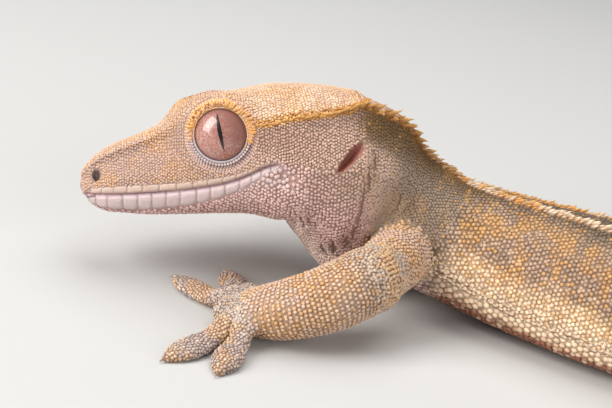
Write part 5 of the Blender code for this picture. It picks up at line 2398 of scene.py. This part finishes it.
@dataclass(frozen=True)
class Claws:
    """A small curved claw at the tip of each digit.

    Attributes:
        radius: at its root, in millimetres.
        length: along its curve.
        rows, sides: how finely each is divided.
    """

    radius: float = 0.24
    length: float = 1.0
    rows: int = 7
    sides: int = 8

    def claw(self, tube: Tube) -> list[Array]:
        """One claw's points in the drawing: its rows, its root and its end."""
        line, _ = tube.line()
        tip, way = line[-1], unit((line[-1] - line[-6]) * (1, 1, 0))
        left = np.cross((0, 0, 1.0), way)
        points = []
        for k in range(self.rows):
            share = k / self.rows
            rise = 0.16 * math.sin(math.pi * min(1, share * 1.1)) - 0.18 * share
            centre = tip + way * (-0.25 + self.length * share) + np.array([0, 0, rise])
            radius = self.radius * (1 - share) ** 0.7
            for turn in np.arange(self.sides) * 2 * math.pi / self.sides:
                points.append(centre + radius * (math.cos(turn) * left * 0.75
                                                 + math.sin(turn) * np.array([0, 0, 1.0])))
        return points + [tip + way * -0.3, tip + way * (self.length * 0.80) + np.array([0, 0, -0.12])]

    def build(self, material: Material) -> Object:
        """Makes all twenty claws as one piece.

        Args:
            material: what they are made of.

        Returns:
            The piece.
        """
        claws = [self.claw(tube) for limb in LIMBS for tube in limb.digits()]
        grid = closed_grid(self.rows, self.sides)
        faces = np.concatenate([grid + k * len(claw) for k, claw in enumerate(claws)])
        points = np.concatenate(claws)
        points[:, 2] = np.maximum(points[:, 2], 0.0)
        obj = turned_out(mesh_object("claws", DRAWING.place(points), faces))
        obj.data.shade_smooth()
        obj.data.materials.append(material)
        log.info("claws: %d faces", len(obj.data.polygons))
        return obj


@dataclass(frozen=True)
class ClawFinish:
    """Smooth horn with paler streaks."""

    name: str = "claw_horn"
    colour: Triple = (0.20, 0.13, 0.09)

    def make(self) -> Material:
        """Builds the material."""
        book = Nodes(self.name)
        streak = book.noise(5000.0, 3.0)
        return book.finish(Base_Color=book.mix(streak, self.colour, tuple(2.2 * c for c in self.colour)),
                           Roughness=0.3, Coat_Weight=0.3)


@dataclass(frozen=True)
class LipFinish:
    """Smooth lip plates, a little waxy, with darker pink joints.

    Attributes:
        name: the material's name.
        joint: what the tint is multiplied by between plates.
        blush: the colour of the clouds in them.
    """

    name: str = "lip_plate"
    joint: Triple = (0.84, 0.66, 0.68)
    blush: Triple = (0.55, 0.30, 0.27)

    def make(self) -> Material:
        """Builds the material."""
        book = Nodes(self.name)
        tint = book.attribute("tint")
        rise = book.attribute("rise", "Fac")
        shade = book.mix(rise.span(0.0, 0.55), (*self.joint, 1.0), (1.0, 1.0, 1.0, 1.0))
        cloud = book.noise(1400.0, 3.0)
        colour = book.mix(1.0, tint, shade, "MULTIPLY")
        colour = book.mix((cloud.span(0.45, 0.75) * 0.3).clamp(), colour, self.blush)
        return book.finish(Base_Color=colour, Roughness=0.42, Subsurface_Weight=0.2,
                           Subsurface_Radius=(0.6, 0.3, 0.25), Subsurface_Scale=0.0007,
                           Normal=book.bump(book.noise(6000.0, 2.0), 0.00001, 0.5))


# Eyes


@dataclass
class Eyes:
    """Both eyeballs: fine balls in their beds.

    Attributes:
        sides, rows: how finely each is divided.
    """

    sides: int = 96
    rows: int = 60

    def build(self) -> list[Object]:
        """Makes both eyes, dressed, in place of the solids' eyes."""
        made = []
        for name, side in (("left", 1), ("right", -1)):
            axes = DRAWING.axes() @ EYE.axes(side)
            middle = DRAWING.pair(EYE.centre, side)
            piece = ellipsoid(f"{name}_eyeball", middle, axes, [EYE.radius] * 3, self.sides, self.rows)
            piece.data.shade_smooth()
            turn = axes.copy()
            turn[:, 0] *= side
            euler = Matrix(turn.tolist()).to_euler()
            finish = EyeFinish(f"{name}_iris", tuple(DRAWING.place(middle)), tuple(euler), float(side))
            piece.data.materials.append(finish.make())
            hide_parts(f"eye_{name}")
            made.append(piece)
        log.info("eyes: %d", len(made))
        return made


# The stage


@dataclass(frozen=True)
class Studio:
    """A pale floor with a sweep behind, soft lamps and the camera.

    Attributes:
        lens: the camera's focal length, in millimetres.
        eye: the camera's place in the drawing.
        right, up, view: its axes.
    """

    lens: float = 66.50
    eye: Triple = (11.004, -123.558, 59.877)
    right: Triple = (0.98481, 0.06223, 0.16211)
    up: Triple = (-0.17365, 0.35292, 0.91940)
    view: Triple = (0.0, 0.93358, -0.35837)

    def floor(self) -> Object:
        """The floor, sweeping up at the back."""
        turn = np.linspace(0, math.pi / 2, 13)
        start, radius = 0.45, 0.25
        profile = [(-0.9, 0.0), (start, 0.0)]
        profile += [(start + radius * math.sin(t), radius - radius * math.cos(t)) for t in turn[1:]]
        profile += [(0.70, 1.2)]
        points = [(x, y, z - 0.00002) for x in (-1.6, 1.6) for y, z in profile]
        count = len(profile)
        faces = [(k, k + count, k + count + 1, k + 1) for k in range(count - 1)]
        floor = mesh_object("studio_floor", np.array(points), faces)
        floor.data.shade_smooth()
        floor.data.materials.append(StageFinish().make())
        return floor

    def lamp(self, name: str, place: Sequence[float], target: Sequence[float], size: tuple[float, float],
             power: float, colour: Triple) -> None:
        """An area lamp that looks at a target; only the key lamp shows in the eyes.

        Args:
            name: its name.
            place, target: in metres of the model's frame.
            size: its two sides, in metres.
            power: in watts.
            colour: of its light.
        """
        data = bpy.data.lights.new(name, "AREA")
        data.shape, data.size, data.size_y = "RECTANGLE", size[0], size[1]
        data.energy, data.color = power, colour
        obj = linked(name, data)
        obj.visible_camera = False
        obj.visible_glossy = name == "key"
        obj.location = place
        obj.rotation_euler = (Vector(target) - Vector(place)).to_track_quat("-Z", "Y").to_euler()

    def build(self) -> None:
        """Makes the floor, the lamps, the sky and the camera."""
        self.floor()
        head = DRAWING.place(DRAWING.at(16.0, 4.0, 2.0))
        self.lamp("key", head + np.array([-0.34, -0.19, 0.25]), head, (0.24, 0.40), 2.75, (1.0, 0.985, 0.96))
        self.lamp("fill", head + np.array([0.45, -0.40, 0.22]), head, (0.5, 0.4), 1.5, (0.97, 0.98, 1.0))
        self.lamp("top", head + np.array([0.06, 0.10, 0.50]), head, (0.5, 0.5), 2.1, (1.0, 0.99, 0.97))
        world = bpy.data.worlds.new("sky")
        world.use_nodes = True
        sky = world.node_tree.nodes["Background"].inputs
        sky["Color"].default_value, sky["Strength"].default_value = (0.9, 0.93, 1.0, 1.0), 0.25
        bpy.context.scene.world = world
        camera = bpy.data.cameras.new("camera")
        camera.lens, camera.sensor_width, camera.sensor_fit = self.lens, 36.0, "HORIZONTAL"
        camera.clip_start, camera.clip_end = 0.005, 20.0
        obj = linked("camera", camera)
        obj.matrix_world = Matrix.Translation(Vector(DRAWING.place(np.array(self.eye)))) @ Matrix(
            np.column_stack([self.right, self.up, -np.array(self.view)]).tolist()).to_4x4()
        bpy.context.scene.camera = obj
        bpy.context.scene.view_settings.view_transform = "Standard"


FLESH = ("head", "neck", "torso", "tail_1", "tail_2", "tail_3",
         *(f"{side}_{part}" for side in ("left", "right")
           for part in ("upper_arm", "forearm", "hand", "thigh", "shank", "foot")))


def main() -> None:
    """Builds the gecko's pieces in order and puts each on its body."""
    logging.basicConfig(level=logging.INFO, format="%(message)s")
    markings = Markings(Palette())
    skin = Skin(markings).build()
    skin.obj.data.materials.append(SkinFinish().make())
    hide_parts(*FLESH)
    pieces = [skin.obj, *Eyes().build()]
    scatter, finish = Scatter(), ScaleFinish().make()
    # The rims, lashes and rim granules get a softer painted shade at the roots and a painted highlight at
    # the tips.
    soft = ScaleFinish("rim_scales", root=(0.86, 0.74, 0.66), tip=(1.12, 1.10, 1.08)).make()
    forms = {kind: kind.value.build() for kind in ScaleForm}
    rng = np.random.default_rng(21)
    rims = EyeRims(skin, markings)
    coat_pieces = [coat.build(scatter, forms, finish)
                   for coat in (*Scales(skin, markings).build(), *Crest(skin, markings, rng).build())]
    coat_pieces += [coat.build(scatter, forms, soft) for coat in (rims.lashes(rng), rims.ground(rng))]
    coat_pieces += [rims.rim(side).build(soft) for side in (1, -1)]
    coat_pieces += [Lips(skin).build(markings, LipFinish().make()), Claws().build(ClawFinish().make())]
    pieces += coat_pieces
    for form in forms.values():
        bpy.data.meshes.remove(form.data)
    for piece in pieces:
        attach(piece, "root")
    Studio().build()


if __name__ == "__main__":
    main()
